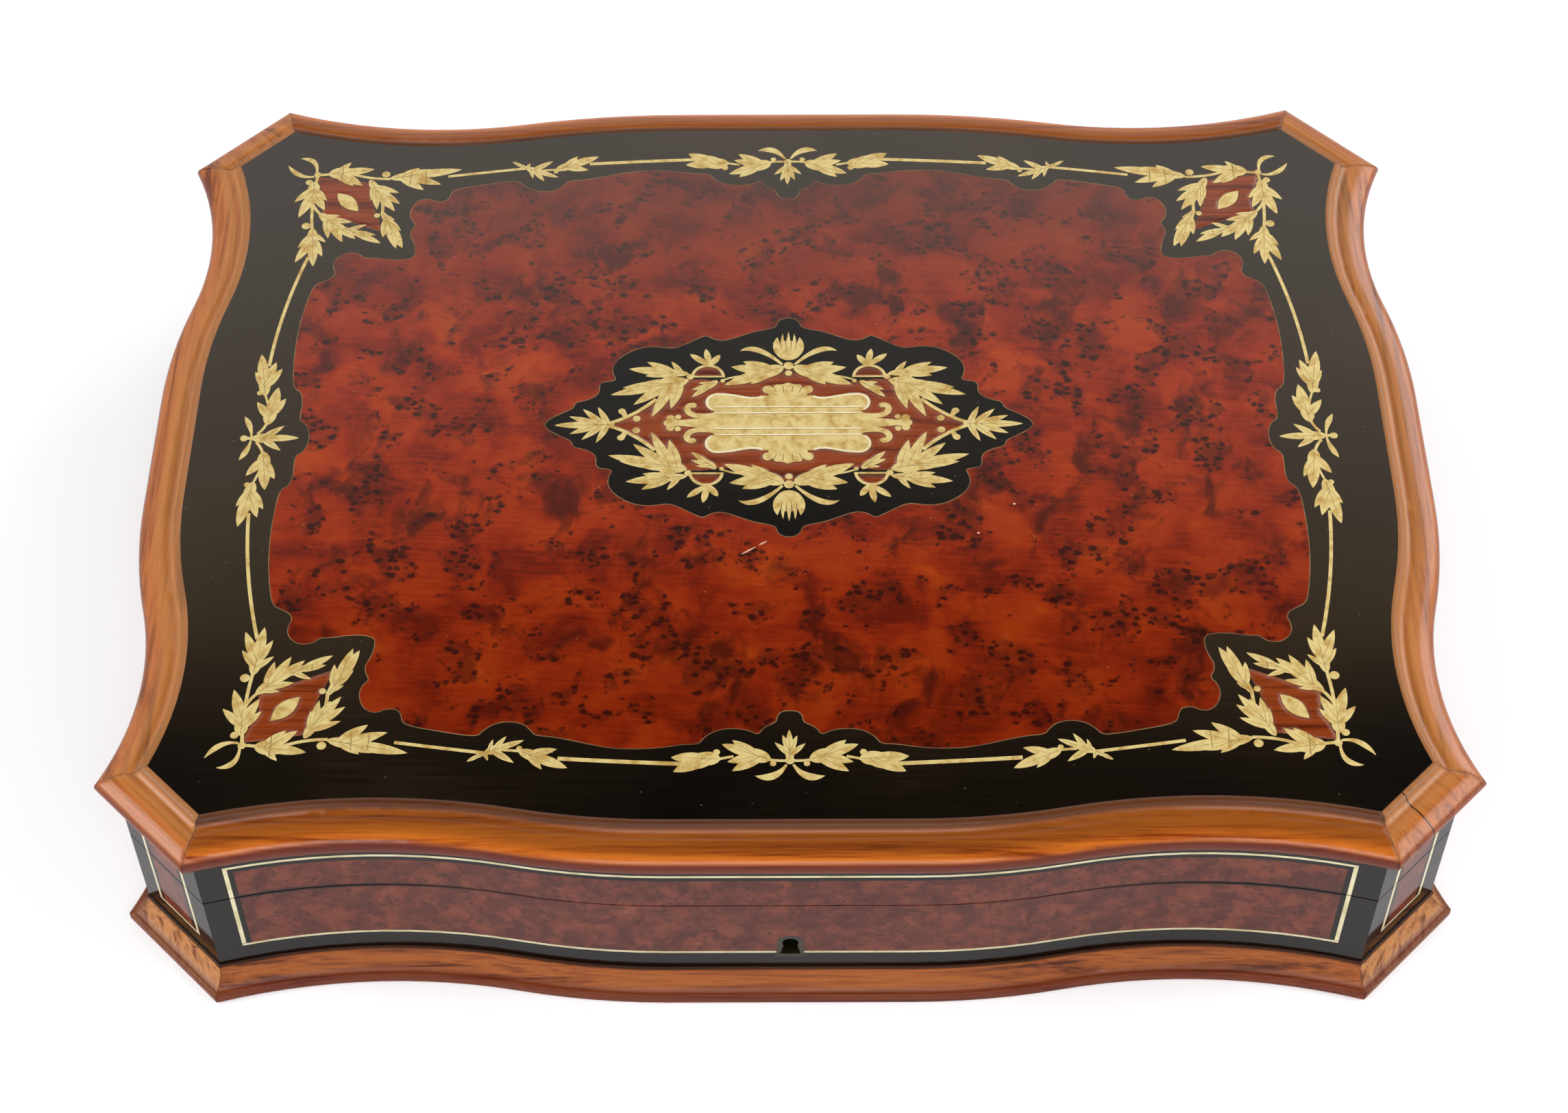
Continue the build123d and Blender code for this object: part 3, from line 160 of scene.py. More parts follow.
cantMouldingLook = dict(litEndMouldingLook, joint={  # an old joint across one of the cants
    "direction": (0.7565, 0.654, 0.0),
    "distance": 37.1,  # from the middle of the box along that direction
    "halfWidth": 0.24,
    "colour": "#1A0C06",
})
baseMouldingLook = {  # worn, and duller than the lid
    "light": "#9A5628",
    "middle": "#7A4020",
    "dark": "#4C2412",
    "streakLength": 90.0,
    "streakWidth": 2.4,
    "grainLength": 10.0,
    "grainWidth": 0.5,
    "coat": 0.36,
    "gloss": 0.3,
    "wear": 0.8,
    "zones": [
        (4.2, 3.0, 0.75, "#541A0E"),  # the foot
        (8.3, 8.9, 0.88, "#1E100A"),  # painted shade and dirt in the corner above, where the moulding meets the wall
    ],
    "joint": None,
}
baseEndLook = dict(baseMouldingLook, light="#B07848", middle="#905C38", dark="#643820")  # dustier
redVeneerLook = dict(
    lidMouldingLook, light="#7E3614", middle="#64260B", dark="#4A1806", coat=0.85, gloss=0.06, zones=[]
)


def frenchPolishedHardwood(name, turn, look):
    material, tree, shader, place = startMaterial(name, shellac(look["coat"], look["gloss"]))
    along = grainPlace(tree, place, turn, look["streakLength"], look["streakWidth"])
    streaks = addNode(tree, "TexNoise", {"Vector": along, "Scale": 1.0, "Detail": 3.0, "Distortion": 0.5})
    fine = grainPlace(tree, place, turn, look["grainLength"], look["grainWidth"])
    grain = addNode(tree, "TexNoise", {"Vector": fine, "Scale": 1.0, "Detail": 4.0})
    tone = addNode(tree, "Math", {0: grain, 1: 0.35, 2: streaks}, multiplyAdd)
    stops = [(0.48, look["dark"]), (0.59, look["middle"]), (0.74, look["light"]), (0.86, look["middle"])]
    colour = addNode(tree, "ValToRGB", {0: tone}, {"stops": stops})
    colour = zoned(tree, place, "Z", colour, look["zones"])
    joint = look["joint"]
    if joint:
        dotProduct = {"operation": "DOT_PRODUCT"}
        along = addNode(tree, "VectorMath", {0: place, 1: joint["direction"]}, dotProduct, 1)
        off = awayFrom(tree, along, mm(joint["distance"]))
        half = mm(joint["halfWidth"])
        line = addNode(tree, "MapRange", {0: off, 1: half, 2: half / 2})
        colour = addNode(tree, "Mix", {0: line, 6: colour, 7: joint["colour"]}, rgba, 2)
    worn = addNode(tree, "Bevel", {"Radius": mm(look["wear"])}, {"samples": 6})
    bump = addNode(tree, "Bump", {"Height": grain, "Strength": 0.1, "Distance": mm(0.12), "Normal": worn})
    plugIn(tree, shader, {"Base Color": colour, "Normal": bump, "Coat Normal": worn})
    return material


# The seam between box and lid, whose edges are rounded: painted shade along both sides of it, more so
# towards the corners
seamShadeLook = {
    "clean": 1.1,  # distances from the seam, where the painted shade starts and where it is full
    "fullyDark": 0.5,
    "few": 30.0,  # distances from the middle of the box, where it starts and where it is full
    "most": 115.0,
    "share": 0.9,
    "colour": "#120806",
}
seamHeight = (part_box("front_wall")[1].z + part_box("lid_rail_front")[0].z) / 2


# Painted shade: the colour is darkened along the seam, more towards the box's corners
def shadedSeam(tree, place, colour):
    look = seamShadeLook
    sides = addNode(tree, "SeparateXYZ", {0: place})
    across = awayFrom(tree, sides, 0.0)
    off = awayFrom(tree, sides.node.outputs["Z"], seamHeight)
    clean = mm(look["clean"])
    near = addNode(tree, "MapRange", {0: off, 1: clean, 2: mm(look["fullyDark"]), 4: look["share"]}, smooth)
    corner = addNode(tree, "MapRange", {0: across, 1: mm(look["few"]), 2: mm(look["most"])}, smooth)
    darkening = addNode(tree, "Math", {0: near, 1: corner}, multiply)
    return addNode(tree, "Mix", {0: darkening, 6: colour, 7: look["colour"]}, rgba, 2)


# Burr walnut: cloudy red-brown figure with clusters of soft dark eyes, deep under the polish
topBurrLook = {
    "stops": [(0.34, "#5A1202"), (0.44, "#741C03"), (0.54, "#842504"), (0.66, "#8E2E05"), (0.8, "#983A0A")],
    "cloud": "#360B03",
    "eye": "#220603",
    "eyeShare": 0.9,
    "figure": 16.0,  # size of the swirls
    "warp": 14.0,  # how far the swirls are drawn out
    "cloudSize": 13.0,
    "cloudFrom": 0.53,
    "fibreLength": 11.0,
    "fibreWidth": 0.9,
    "eyeSpacing": 1.9,
    "eyeWobble": 1.6,  # how far an eye's outline is pushed about
    "wobbleSize": 1.4,
    "cluster": 11.0,  # size of a group of eyes
    "clusterFrom": 0.5,
    "speck": 8.0,  # spacing of the pale specks in the polish
    "speckColour": "#B07A54",
    "coat": 1.0,
    "gloss": 0.05,
    "tintsByDepth": [(-5.0, -90.0, 0.3, "#3A0E04"), (25.0, 100.0, 0.6, "#42241A")],  # painted shade by depth: darker in front, darker and duller behind
    "seam": False,
}
sideBurrLook = dict(
    topBurrLook,
    stops=[(0.34, "#4C1F14"), (0.45, "#58261A"), (0.54, "#642C1E"), (0.64, "#6C3422"), (0.78, "#743C26")],
    cloud="#451A12", eye="#38160E", eyeShare=0.6, eyeSpacing=1.5, cluster=5.0, clusterFrom=0.47, coat=0.54,
    figure=5.5, warp=6.0, cloudSize=5.5, cloudFrom=0.54, fibreLength=7.0, fibreWidth=1.0, tintsByDepth=[],
    seam=True,
)


def burrVeneer(name, look):
    material, tree, shader, place = startMaterial(name, shellac(look["coat"], look["gloss"]))
    warp = mm(look["warp"])
    wander = addNode(tree, "TexNoise", {"Vector": place, "Scale": 1 / warp, "Detail": 2.0}, None, 1)
    centred = addNode(tree, "VectorMath", {0: wander, 1: (0.5, 0.5, 0.5)}, subtract)
    warped = addNode(tree, "VectorMath", {0: centred, 1: (warp,) * 3, 2: place}, multiplyAdd)
    across = grainPlace(tree, place, 4, look["fibreLength"], look["fibreWidth"])
    fibre = addNode(tree, "TexNoise", {"Vector": across, "Scale": 1.0, "Detail": 3.0, "Distortion": 0.6})
    figure = addNode(tree, "TexNoise", {"Vector": warped, "Scale": 1 / mm(look["figure"]), "Detail": 5.0,
                                        "Roughness": 0.55, "Distortion": 0.2})
    tone = addNode(tree, "Math", {0: fibre, 1: 0.25, 2: -0.125}, multiplyAdd)
    tone = addNode(tree, "Math", {0: figure, 1: 1.0, 2: tone}, multiplyAdd)
    colour = addNode(tree, "ValToRGB", {0: tone}, {"stops": look["stops"]})
    tall = grainPlace(tree, warped, 0, look["cloudSize"], look["cloudSize"] * 1.5)
    clouds = addNode(tree, "TexNoise", {"Vector": tall, "Scale": 1.0, "Detail": 4.0, "Roughness": 0.6})
    start = look["cloudFrom"]
    smudge = addNode(tree, "MapRange", {0: clouds, 1: start, 2: start + 0.16, 4: 0.85}, smooth)
    colour = addNode(tree, "Mix", {0: smudge, 6: colour, 7: look["cloud"]}, rgba, 2)
    # eyes: a soft dark dot in most cells of a fine pattern, of uneven size and shape, kept inside the groups
    fineness = 1 / mm(look["wobbleSize"])
    jitter = addNode(tree, "TexNoise", {"Vector": place, "Scale": fineness, "Detail": 2.0}, None, 1)
    pushed = addNode(tree, "VectorMath", {0: jitter, 1: (mm(look["eyeWobble"]),) * 3, 2: place}, multiplyAdd)
    flatter = addNode(tree, "Mapping", {"Vector": pushed, "Scale": (0.72, 1.0, 1.0)})
    distance = addNode(tree, "TexVoronoi", {"Vector": flatter, "Scale": 1 / mm(look["eyeSpacing"])})
    chance = addNode(tree, "SeparateXYZ", {0: distance.node.outputs["Color"]})
    reach = addNode(tree, "Math", {0: chance, 1: 0.3, 2: 0.26}, multiplyAdd)
    inside = addNode(tree, "Math", {0: distance, 1: -1.0, 2: reach}, multiplyAdd)
    dots = addNode(tree, "MapRange", {0: inside, 1: -0.08, 2: 0.16}, smooth)
    groups = addNode(tree, "TexNoise", {"Vector": warped, "Scale": 1 / mm(look["cluster"]), "Detail": 3.0,
                                        "Roughness": 0.6})
    start = look["clusterFrom"]
    grouped = addNode(tree, "MapRange", {0: groups, 1: start, 2: start + 0.06, 4: look["eyeShare"]}, smooth)
    eyes = addNode(tree, "Math", {0: dots, 1: grouped}, multiply)
    around = addNode(tree, "MapRange", {0: groups, 1: start, 2: start + 0.16, 4: 0.6}, smooth)
    colour = addNode(tree, "Mix", {0: around, 6: colour, 7: look["cloud"]}, rgba, 2)
    colour = addNode(tree, "Mix", {0: eyes, 6: colour, 7: look["eye"]}, rgba, 2)
    # pale specks where the polish is chipped
    chips = addNode(tree, "TexVoronoi", {"Vector": place, "Scale": 1 / mm(look["speck"])})
    specks = addNode(tree, "MapRange", {0: chips, 1: 0.04, 2: 0.02, 4: 0.35}, smooth)
    colour = addNode(tree, "Mix", {0: specks, 6: colour, 7: look["speckColour"]}, rgba, 2)
    # painted shade by depth, where the look gives it
    colour = zoned(tree, place, "Y", colour, look["tintsByDepth"])
    if look["seam"]:
        # painted shade along the seam between box and lid
        colour = shadedSeam(tree, place, colour)
    endMaterial(tree, shader, colour, eyes, 0.1, -0.1)
    return material


# Ebonised pearwood: stained nearly black, with fine pores, brown where it has rubbed, and dust in the polish
ebonyLook = {
    "stops": [(0.38, "#090604"), (0.55, "#130D07"), (0.72, "#221810")],
    "rub": 70.0,  # size of the browner patches
    "grainLength": 22.0,
    "grainWidth": 0.6,
    "speck": 5.0,
    "speckColour": "#8D8B78",
    "gloss": 0.06,
    # how much polish is left in each place, and the tints by depth in it
    # a slight tan tint towards the front of the top
    "top": (1.0, [(-105.0, -50.0, 0.045, "#A88862")]),
    "cartouche": (0.8, []),
    "sides": (0.55, []),
}


def ebonisedWood(name, where):
    look = ebonyLook
    coat, tintsByDepth = look[where]
    material, tree, shader, place = startMaterial(name, shellac(coat, look["gloss"]))
    along = grainPlace(tree, place, 0, look["grainLength"], look["grainWidth"])
    grain = addNode(tree, "TexNoise", {"Vector": along, "Scale": 1.0, "Detail": 5.0})
    rub = addNode(tree, "TexNoise", {"Vector": place, "Scale": 1 / mm(look["rub"]), "Detail": 3.0})
    tone = addNode(tree, "Math", {0: rub, 1: 0.8, 2: -0.1}, multiplyAdd)
    tone = addNode(tree, "Math", {0: grain, 1: 0.3, 2: tone}, multiplyAdd)
    colour = addNode(tree, "ValToRGB", {0: tone}, {"stops": look["stops"]})
    dust = addNode(tree, "TexVoronoi", {"Vector": place, "Scale": 1 / mm(look["speck"])})
    specks = addNode(tree, "MapRange", {0: dust, 1: 0.05, 2: 0.02, 4: 0.3}, smooth)
    colour = addNode(tree, "Mix", {0: specks, 6: colour, 7: look["speckColour"]}, rgba, 2)
    colour = zoned(tree, place, "Y", colour, tintsByDepth)
    # painted shade along the seam between box and lid
    colour = shadedSeam(tree, place, colour)
    endMaterial(tree, shader, colour, grain, 0.08, 0.1)
    return material


# Brass, cast or sawn from sheet: warm yellow metal, cloudy with old lacquer and ochre where it has tarnished
brassLook = {  # light, dark, roughness, size of the clouds, and the share that is bare metal
    "inlay": ("#DAC482", "#BA9449", 0.5, 3.2, 0.5),
    "burnished": ("#F4E9C4", "#E6D296", 0.32, 4.0, 0.5),
    "string": ("#D2C9A2", "#B8AC7C", 0.45, 6.0, 0.4),
    "worn": ("#A58A50", "#5E4E30", 0.42, 5.0, 1.0),
    "keyhole": ("#37301F", "#1A1812", 0.5, 3.0, 0.8),
}
# The level lines of the stringing are worn, and old polish covers their edges
stringLook = {
    "halfWidth": 0.5,
    "clean": 0.36,  # distances from the middle of a line, where the dirt starts, is full and ends
    "fullyDark": 0.42,
    "end": 0.52,
    "past": 0.54,
    "colour": "#1C1812",
}
stringHeights = [
    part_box("carcass_brass_stringing")[0].z + mm(stringLook["halfWidth"]),
    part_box("lid_side_brass_stringing")[1].z - mm(stringLook["halfWidth"]),
]


def brass(name, kind, lines=()):
    light, dark, roughness, patch, metallic = brassLook[kind]
    material, tree, shader, place = startMaterial(
        name, {"Metallic": metallic, "Roughness": roughness, "Coat Weight": 0.4, "Coat Roughness": 0.08}
    )
    pattern = {"Vector": place, "Scale": 1 / mm(patch), "Detail": 5.0, "Roughness": 0.6, "Distortion": 0.3}
    clouds = addNode(tree, "TexNoise", pattern)
    colour = addNode(tree, "ValToRGB", {0: clouds}, {"stops": [(0.44, light), (0.66, dark)]})
    look = stringLook
    for line in lines:
        height = addNode(tree, "SeparateXYZ", {0: place}, None, "Z")
        off = awayFrom(tree, height, line)
        beside = addNode(tree, "MapRange", {0: off, 1: mm(look["clean"]), 2: mm(look["fullyDark"])})
        within = addNode(tree, "MapRange", {0: off, 1: mm(look["past"]), 2: mm(look["end"])})
        darkening = addNode(tree, "Math", {0: beside, 1: within}, multiply)
        colour = addNode(tree, "Mix", {0: darkening, 6: colour, 7: look["colour"]}, rgba, 2)
    endMaterial(tree, shader, colour, clouds, 0.25, 0.08)
    return material


# Plain-sawn wood for the parts under the veneer and inside: open grain, light, with a soft wax sheen.
# Mastic, glue and chipped polish are fills as dull as such wood, and take its pattern.
waxedLook = {
    "figureLength": 60.0,
    "figureWidth": 3.4,
    "poreLength": 7.0,
    "poreWidth": 0.45,
    # light, dark and roughness of each
    "carcass": ("#8A5632", "#5E3219", 0.5),
    "partitions": ("#7A3A1E", "#4C1E0E", 0.3),
    "satinwood": ("#C28A48", "#96602C", 0.28),
    "mastic": ("#8E7440", "#6E5830", 0.5),
    "glue": ("#7E6340", "#5A4026", 0.5),
    "chipped": ("#D8B49A", "#B98A6C", 0.6),
}


def waxedWood(name, wood, turn):
    look = waxedLook
    light, dark, roughness = look[wood]
    material, tree, shader, place = startMaterial(name, {"Roughness": roughness, "Specular IOR Level": 0.35})
    along = grainPlace(tree, place, turn, look["figureLength"], look["figureWidth"])
    figure = addNode(tree, "TexNoise", {"Vector": along, "Scale": 1.0, "Detail": 5.0, "Distortion": 0.6})
    fine = grainPlace(tree, place, turn, look["poreLength"], look["poreWidth"])
    pores = addNode(tree, "TexNoise", {"Vector": fine, "Scale": 1.0, "Detail": 2.0})
    tone = addNode(tree, "Math", {0: pores, 1: 0.3, 2: figure}, multiplyAdd)
    colour = addNode(tree, "ValToRGB", {0: tone}, {"stops": [(0.5, dark), (0.78, light)]})
    endMaterial(tree, shader, colour, tone, 0.2, 0.12)
    return material


# Filed iron: grey, with the marks of the file across it and brown spots of rust
ironLook = {
    "light": "#8C8880",
    "dark": "#4E4B46",
    "markTurn": 62.0,
    "markLength": 8.0,
    "markWidth": 0.3,
    "rust": "#4A2A1A",
    "rustSize": 5.0,
}


def filedIron(name):
    look = ironLook
    material, tree, shader, place = startMaterial(name, {"Metallic": 1.0, "Roughness": 0.45})
    across = grainPlace(tree, place, look["markTurn"], look["markLength"], look["markWidth"])
    marks = addNode(tree, "TexNoise", {"Vector": across, "Scale": 1.0, "Detail": 3.0})
    rust = addNode(tree, "TexNoise", {"Vector": place, "Scale": 1 / mm(look["rustSize"]), "Detail": 5.0})
    spots = addNode(tree, "MapRange", {0: rust, 1: 0.58, 2: 0.72, 4: 0.7}, smooth)
    colour = addNode(tree, "ValToRGB", {0: marks}, {"stops": [(0.35, look["dark"]), (0.65, look["light"])]})
    colour = addNode(tree, "Mix", {0: spots, 6: colour, 7: look["rust"]}, rgba, 2)
    endMaterial(tree, shader, colour, marks, 0.3, 0.05)
    return material


# Watered paper: crimson, matt, with the moire bands that the rollers press into it
paperLook = {
    "stops": [(0.36, "#62131A"), (0.5, "#76191F"), (0.57, "#82242A"), (0.7, "#66141B")],
    "bandLength": 26.0,
    "bandWidth": 2.6,
    "ribSpacing": 1.7765,  # real ones are about 0.5 apart, too fine to show
}


def wateredPaper(name):
    look = paperLook
    material, tree, shader, place = startMaterial(
        name, {"Roughness": 0.7, "Sheen Weight": 0.3, "Sheen Roughness": 0.4}
    )
    across = grainPlace(tree, place, 90.0, look["bandLength"], look["bandWidth"])
    bands = addNode(tree, "TexNoise", {"Vector": across, "Scale": 1.0, "Detail": 2.0, "Distortion": 1.8})
    colour = addNode(tree, "ValToRGB", {0: bands}, {"stops": look["stops"]})
    wave = {"Vector": place, "Scale": math.tau / 20 / mm(look["ribSpacing"])}  # its own step is tau / 20
    ribs = addNode(tree, "TexWave", wave, {"bands_direction": "Y"}, "Fac")
    endMaterial(tree, shader, colour, ribs, 0.25, 0.06)
    return material


# A number here is how far the grain is turned from the box's length, in degrees
lengthHardwood = frenchPolishedHardwood("frenchPolishedHardwoodLengthwise", 0, lidMouldingLook)
# the crosswise and cant mouldings take the lighter look, with painted light and shade
crossHardwood = frenchPolishedHardwood("frenchPolishedHardwoodCrosswise", 90, litEndMouldingLook)
cantHardwood = frenchPolishedHardwood("frenchPolishedHardwoodCants", 45, cantMouldingLook)
baseHardwood = frenchPolishedHardwood("wornHardwoodBaseLengthwise", 0, baseMouldingLook)
baseCrossHardwood = frenchPolishedHardwood("wornHardwoodBaseCrosswise", 90, baseEndLook)
redVeneer = frenchPolishedHardwood("redStainedVeneer", 0, redVeneerLook)
burrTop = burrVeneer("burrWalnutTop", topBurrLook)
burrSides = burrVeneer("burrWalnutSides", sideBurrLook)
ebonyTop = ebonisedWood("ebonisedPearTop", "top")
ebonyMiddle = ebonisedWood("ebonisedPearCartouche", "cartouche")
ebonySides = ebonisedWood("ebonisedPearSides", "sides")
inlayBrass = brass("engravedInlayBrass", "inlay")
burnishedBrass = brass("burnishedBrass", "burnished")
stringBrass = brass("brassStringing", "string", stringHeights)
wornBrass = brass("wornCastBrass", "worn")
tarnishedBrass = brass("tarnishedKeyholeBrass", "keyhole")
carcassWood = waxedWood("planedMahoganyCarcass", "carcass", 0)
carcassCrossWood = waxedWood("planedMahoganyCarcassCrosswise", "carcass", 90)
partitionWood = waxedWood("polishedMahoganyPartitions", "partitions", 90)
partitionCrossWood = waxedWood("polishedMahoganyPartitionsCrosswise", "partitions", 0)
counterWood = waxedWood("polishedSatinwoodBoxes", "satinwood", 0)
mastic = waxedWood("brownMastic", "mastic", 0)
hideGlue = waxedWood("paleHideGlue", "glue", 0)
chippedPolish = waxedWood("chippedPolish", "chipped", 0)
liningPaper = wateredPaper("crimsonWateredPaper")
iron = filedIron("filedIron")
print("materials made")

# The first material here with a word that a node's name holds is the node's
materialWords = [
    (baseHardwood, ["base_moulding_front", "base_moulding_back"]),
    (baseCrossHardwood, ["base_moulding"]),
    (cantHardwood, ["moulding_corners"]),
    (crossHardwood, ["moulding_left", "moulding_right"]),
    (lengthHardwood, ["moulding"]),
    (counterWood, ["counter"]),
    (iron, ["screws", "lock_bolt", "key_pin"]),
    (wornBrass, ["lock_case", "strike_plate", "hinge"]),
    (tarnishedBrass, ["keyhole"]),
    (burrSides, ["burr_panels"]),
    (stringBrass, ["stringing"]),
    (ebonySides, ["ebony_bands"]),
    (liningPaper, ["lining"]),
    (partitionWood, ["long_partitions"]),
    (partitionCrossWood, ["short_partitions"]),
    (carcassCrossWood, ["left_wall", "right_wall", "rail_left", "rail_right"]),
    (carcassWood, [""]),
]
for name, piece in nodes.items():
    fitting = [material for material, words in materialWords if any(word in name for word in words)]
    piece.data.materials.clear()
    piece.data.materials.append(fitting[0])
print("materials on the frame's pieces")

# Top marquetry. Every shape is drawn flat in millimetres, all are cut through each other in one pass,
# and each layer keeps what no layer above it covers, so the pieces fit like sawn veneer.
marquetry = {
    "borderMiddle": (0.0, 1.12, 0.9946),  # x, y and a stretch along y: it was laid a little towards the back
    "cartoucheMiddle": (0.0, 5.47, 1.0),
    "handCut": 0.22,  # how far a tip may wander from the drawing
    "seed": 7,
}
draw = random.Random(marquetry["seed"])
quarters = [(1, 1), (-1, 1), (-1, -1), (1, -1)]
shapes = []  # (layer, points)


def topOutline(name):
    # the outline of a node's upper face, in millimetres
    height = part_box(name)[1].z
    mesh = nodes[name].data
    edges = {}
    for face in mesh.polygons:
        corners = [mesh.vertices[i].co for i in face.vertices]
        if min(corner.z for corner in corners) > height - mm(0.01):
            keys = [(round(corner.x * 1000, 3), round(corner.y * 1000, 3)) for corner in corners]
            edges.update(dict.fromkeys(zip(keys, keys[1:] + keys[:1])))
    following = {first: second for first, second in edges if (second, first) not in edges}
    outline = [next(iter(following))]
    while following[outline[-1]] != outline[0]:
        outline.append(following[outline[-1]])
    return outline


def between(first, second, share):
    return (first[0] * (1 - share) + second[0] * share, first[1] * (1 - share) + second[1] * share)


def softened(points):
    # the same line with its corners cut twice, its two ends kept
    for _ in range(2):
        line = [points[0]]
        for first, second in zip(points, points[1:]):
            line += [between(first, second, 0.25), between(first, second, 0.75)]
        points = line + [points[-1]]
    return points


def onCircle(middle, radius, angle, stretch=1.0):
    return (middle[0] + radius * stretch * math.cos(angle), middle[1] + radius * math.sin(angle))


def bend(start, middle, end, t):
    # a point of the line that leaves start towards middle and arrives at end
    return [(1 - t) ** 2 * a + 2 * t * (1 - t) * b + t * t * c for a, b, c in zip(start, middle, end)]


def inQuarter(point, quarter, middle):
    return (point[0] * quarter[0] + middle[0], point[1] * quarter[1] * middle[2] + middle[1])


def placed(points, quarter, middle):
    return [inQuarter(point, quarter, middle) for point in points]


def allRound(points, middle):
    # one quarter's line, from the end at x = 0 to the end at y = 0, copied into a closed outline
    outline = []
    for quarter in quarters:
        part = placed(points, quarter, middle)
        outline += part if quarter[0] * quarter[1] < 0 else part[::-1]
    return outline


def addShape(layer, points):
    clean = []
    for point in points:
        if not clean or math.dist(point, clean[-1]) > 1e-3:
            clean.append(point)
    if math.dist(clean[0], clean[-1]) < 1e-3:
        clean.pop()
    area = sum(a[0] * b[1] - b[0] * a[1] for a, b in zip(clean, clean[1:] + clean[:1]))
    shapes.append((layer, clean if area > 0 else clean[::-1]))


def ribbon(layer, points, widthAt):
    left = []
    right = []
    for index, point in enumerate(points):
        before = points[max(index - 1, 0)]
        after = points[min(index + 1, len(points) - 1)]
        ahead = (after[0] - before[0], after[1] - before[1])
        half = widthAt(index / (len(points) - 1)) / 2 / (math.hypot(*ahead) or 1.0)
        left.append((point[0] - ahead[1] * half, point[1] + ahead[0] * half))
        right.append((point[0] + ahead[1] * half, point[1] - ahead[0] * half))
    addShape(layer, left + right[::-1])


def strip(layer, start, middle, end, widthAt, steps=10):
    ribbon(layer, [bend(start, middle, end, step / steps) for step in range(steps + 1)], widthAt)


def straight(layer, start, end, widthAt, steps):
    strip(layer, start, between(start, end, 0.5), end, widthAt, steps)


def disc(layer, middle, radius, stretch=1.0):
    addShape(layer, [onCircle(middle, radius, math.tau * side / 20, stretch) for side in range(20)])


def discs(layer, dots, quarter, middle):
    for place, radius in dots:
        disc(layer, inQuarter(place, quarter, middle), radius)


# A sawn leaf: a body along its rib, a blade to its tip and one to each lobe, with an engraved vein in each
leafLook = {
    "root": 0.36,  # how far along the rib a lobe's blade leaves it, as a share of the lobe's own place
    "knee": (0.66, 0.5),  # where that blade bends, along and across, in the same shares
    "blade": 0.3,  # width of a lobe's blade as a share of its length, kept between the two widths
    "tipBlade": 0.18,
    "narrow": 1.0,
    "tipNarrow": 1.3,
    "wide": 2.6,
    "body": 0.65,  # width of the body as a share of the mean reach of the lobes
    "vein": 0.14,
    "rib": 0.16,
}


def lobeWidth(t):
    # a pointed blade, widest a little before its middle
    return 2.5 * (t + 0.1) ** 0.6 * (1 - t) ** 0.9


def leaf(layer, base, tip, lobes, quarter, middle, fat):
    look = leafLook

    def wander(point):
        return [value + draw.uniform(-1, 1) * marquetry["handCut"] for value in point]

    base = inQuarter(base, quarter, middle)
    tip = inQuarter(wander(tip), quarter, middle)
    lobes = [inQuarter(wander(lobe), quarter, middle) for lobe in lobes]
    length = math.dist(base, tip)
    ahead = ((tip[0] - base[0]) / length, (tip[1] - base[1]) / length)
    aside = (-ahead[1], ahead[0])

    def onLeaf(forward, sideways=0.0):
        return [base[i] + ahead[i] * forward + aside[i] * sideways for i in (0, 1)]

    reach = []
    for lobe in lobes:
        forward = (lobe[0] - base[0]) * ahead[0] + (lobe[1] - base[1]) * ahead[1]
        sideways = (lobe[0] - base[0]) * aside[0] + (lobe[1] - base[1]) * aside[1]
        reach.append(abs(sideways))
        root = onLeaf(forward * look["root"])
        knee = onLeaf(forward * look["knee"][0], sideways * look["knee"][1])
        width = min(max(math.dist(root, lobe) * look["blade"], look["narrow"]), look["wide"]) * fat
        strip(layer, root, knee, lobe, lambda t: width * lobeWidth(t))
        strip("engraving", root, knee, bend(root, knee, lobe, 0.7), lambda t: look["vein"] - 0.06 * t, 6)
    bodyWidth = (sum(reach) / len(reach) if reach else 1.5) * look["body"] * fat
    strip(layer, base, onLeaf(length * 0.3), onLeaf(length * 0.72),
          lambda t: 0.5 + bodyWidth * math.sin(math.pi * min(t ** 0.75, 1.0)))
    blade = min(max(length * look["tipBlade"], look["tipNarrow"]), look["wide"]) * fat
    strip(layer, onLeaf(length * 0.35), onLeaf(length * 0.7), tip, lambda t: blade * lobeWidth(t))
    strip("engraving", onLeaf(length * 0.06), onLeaf(length * 0.5), onLeaf(length * 0.85),
          lambda t: look["rib"] - 0.08 * t, 8)


def leaves(layer, drawn, quarter, middle):
    for base, tip, lobes, fat in drawn:
        leaf(layer, base, tip, lobes, quarter, middle, fat)


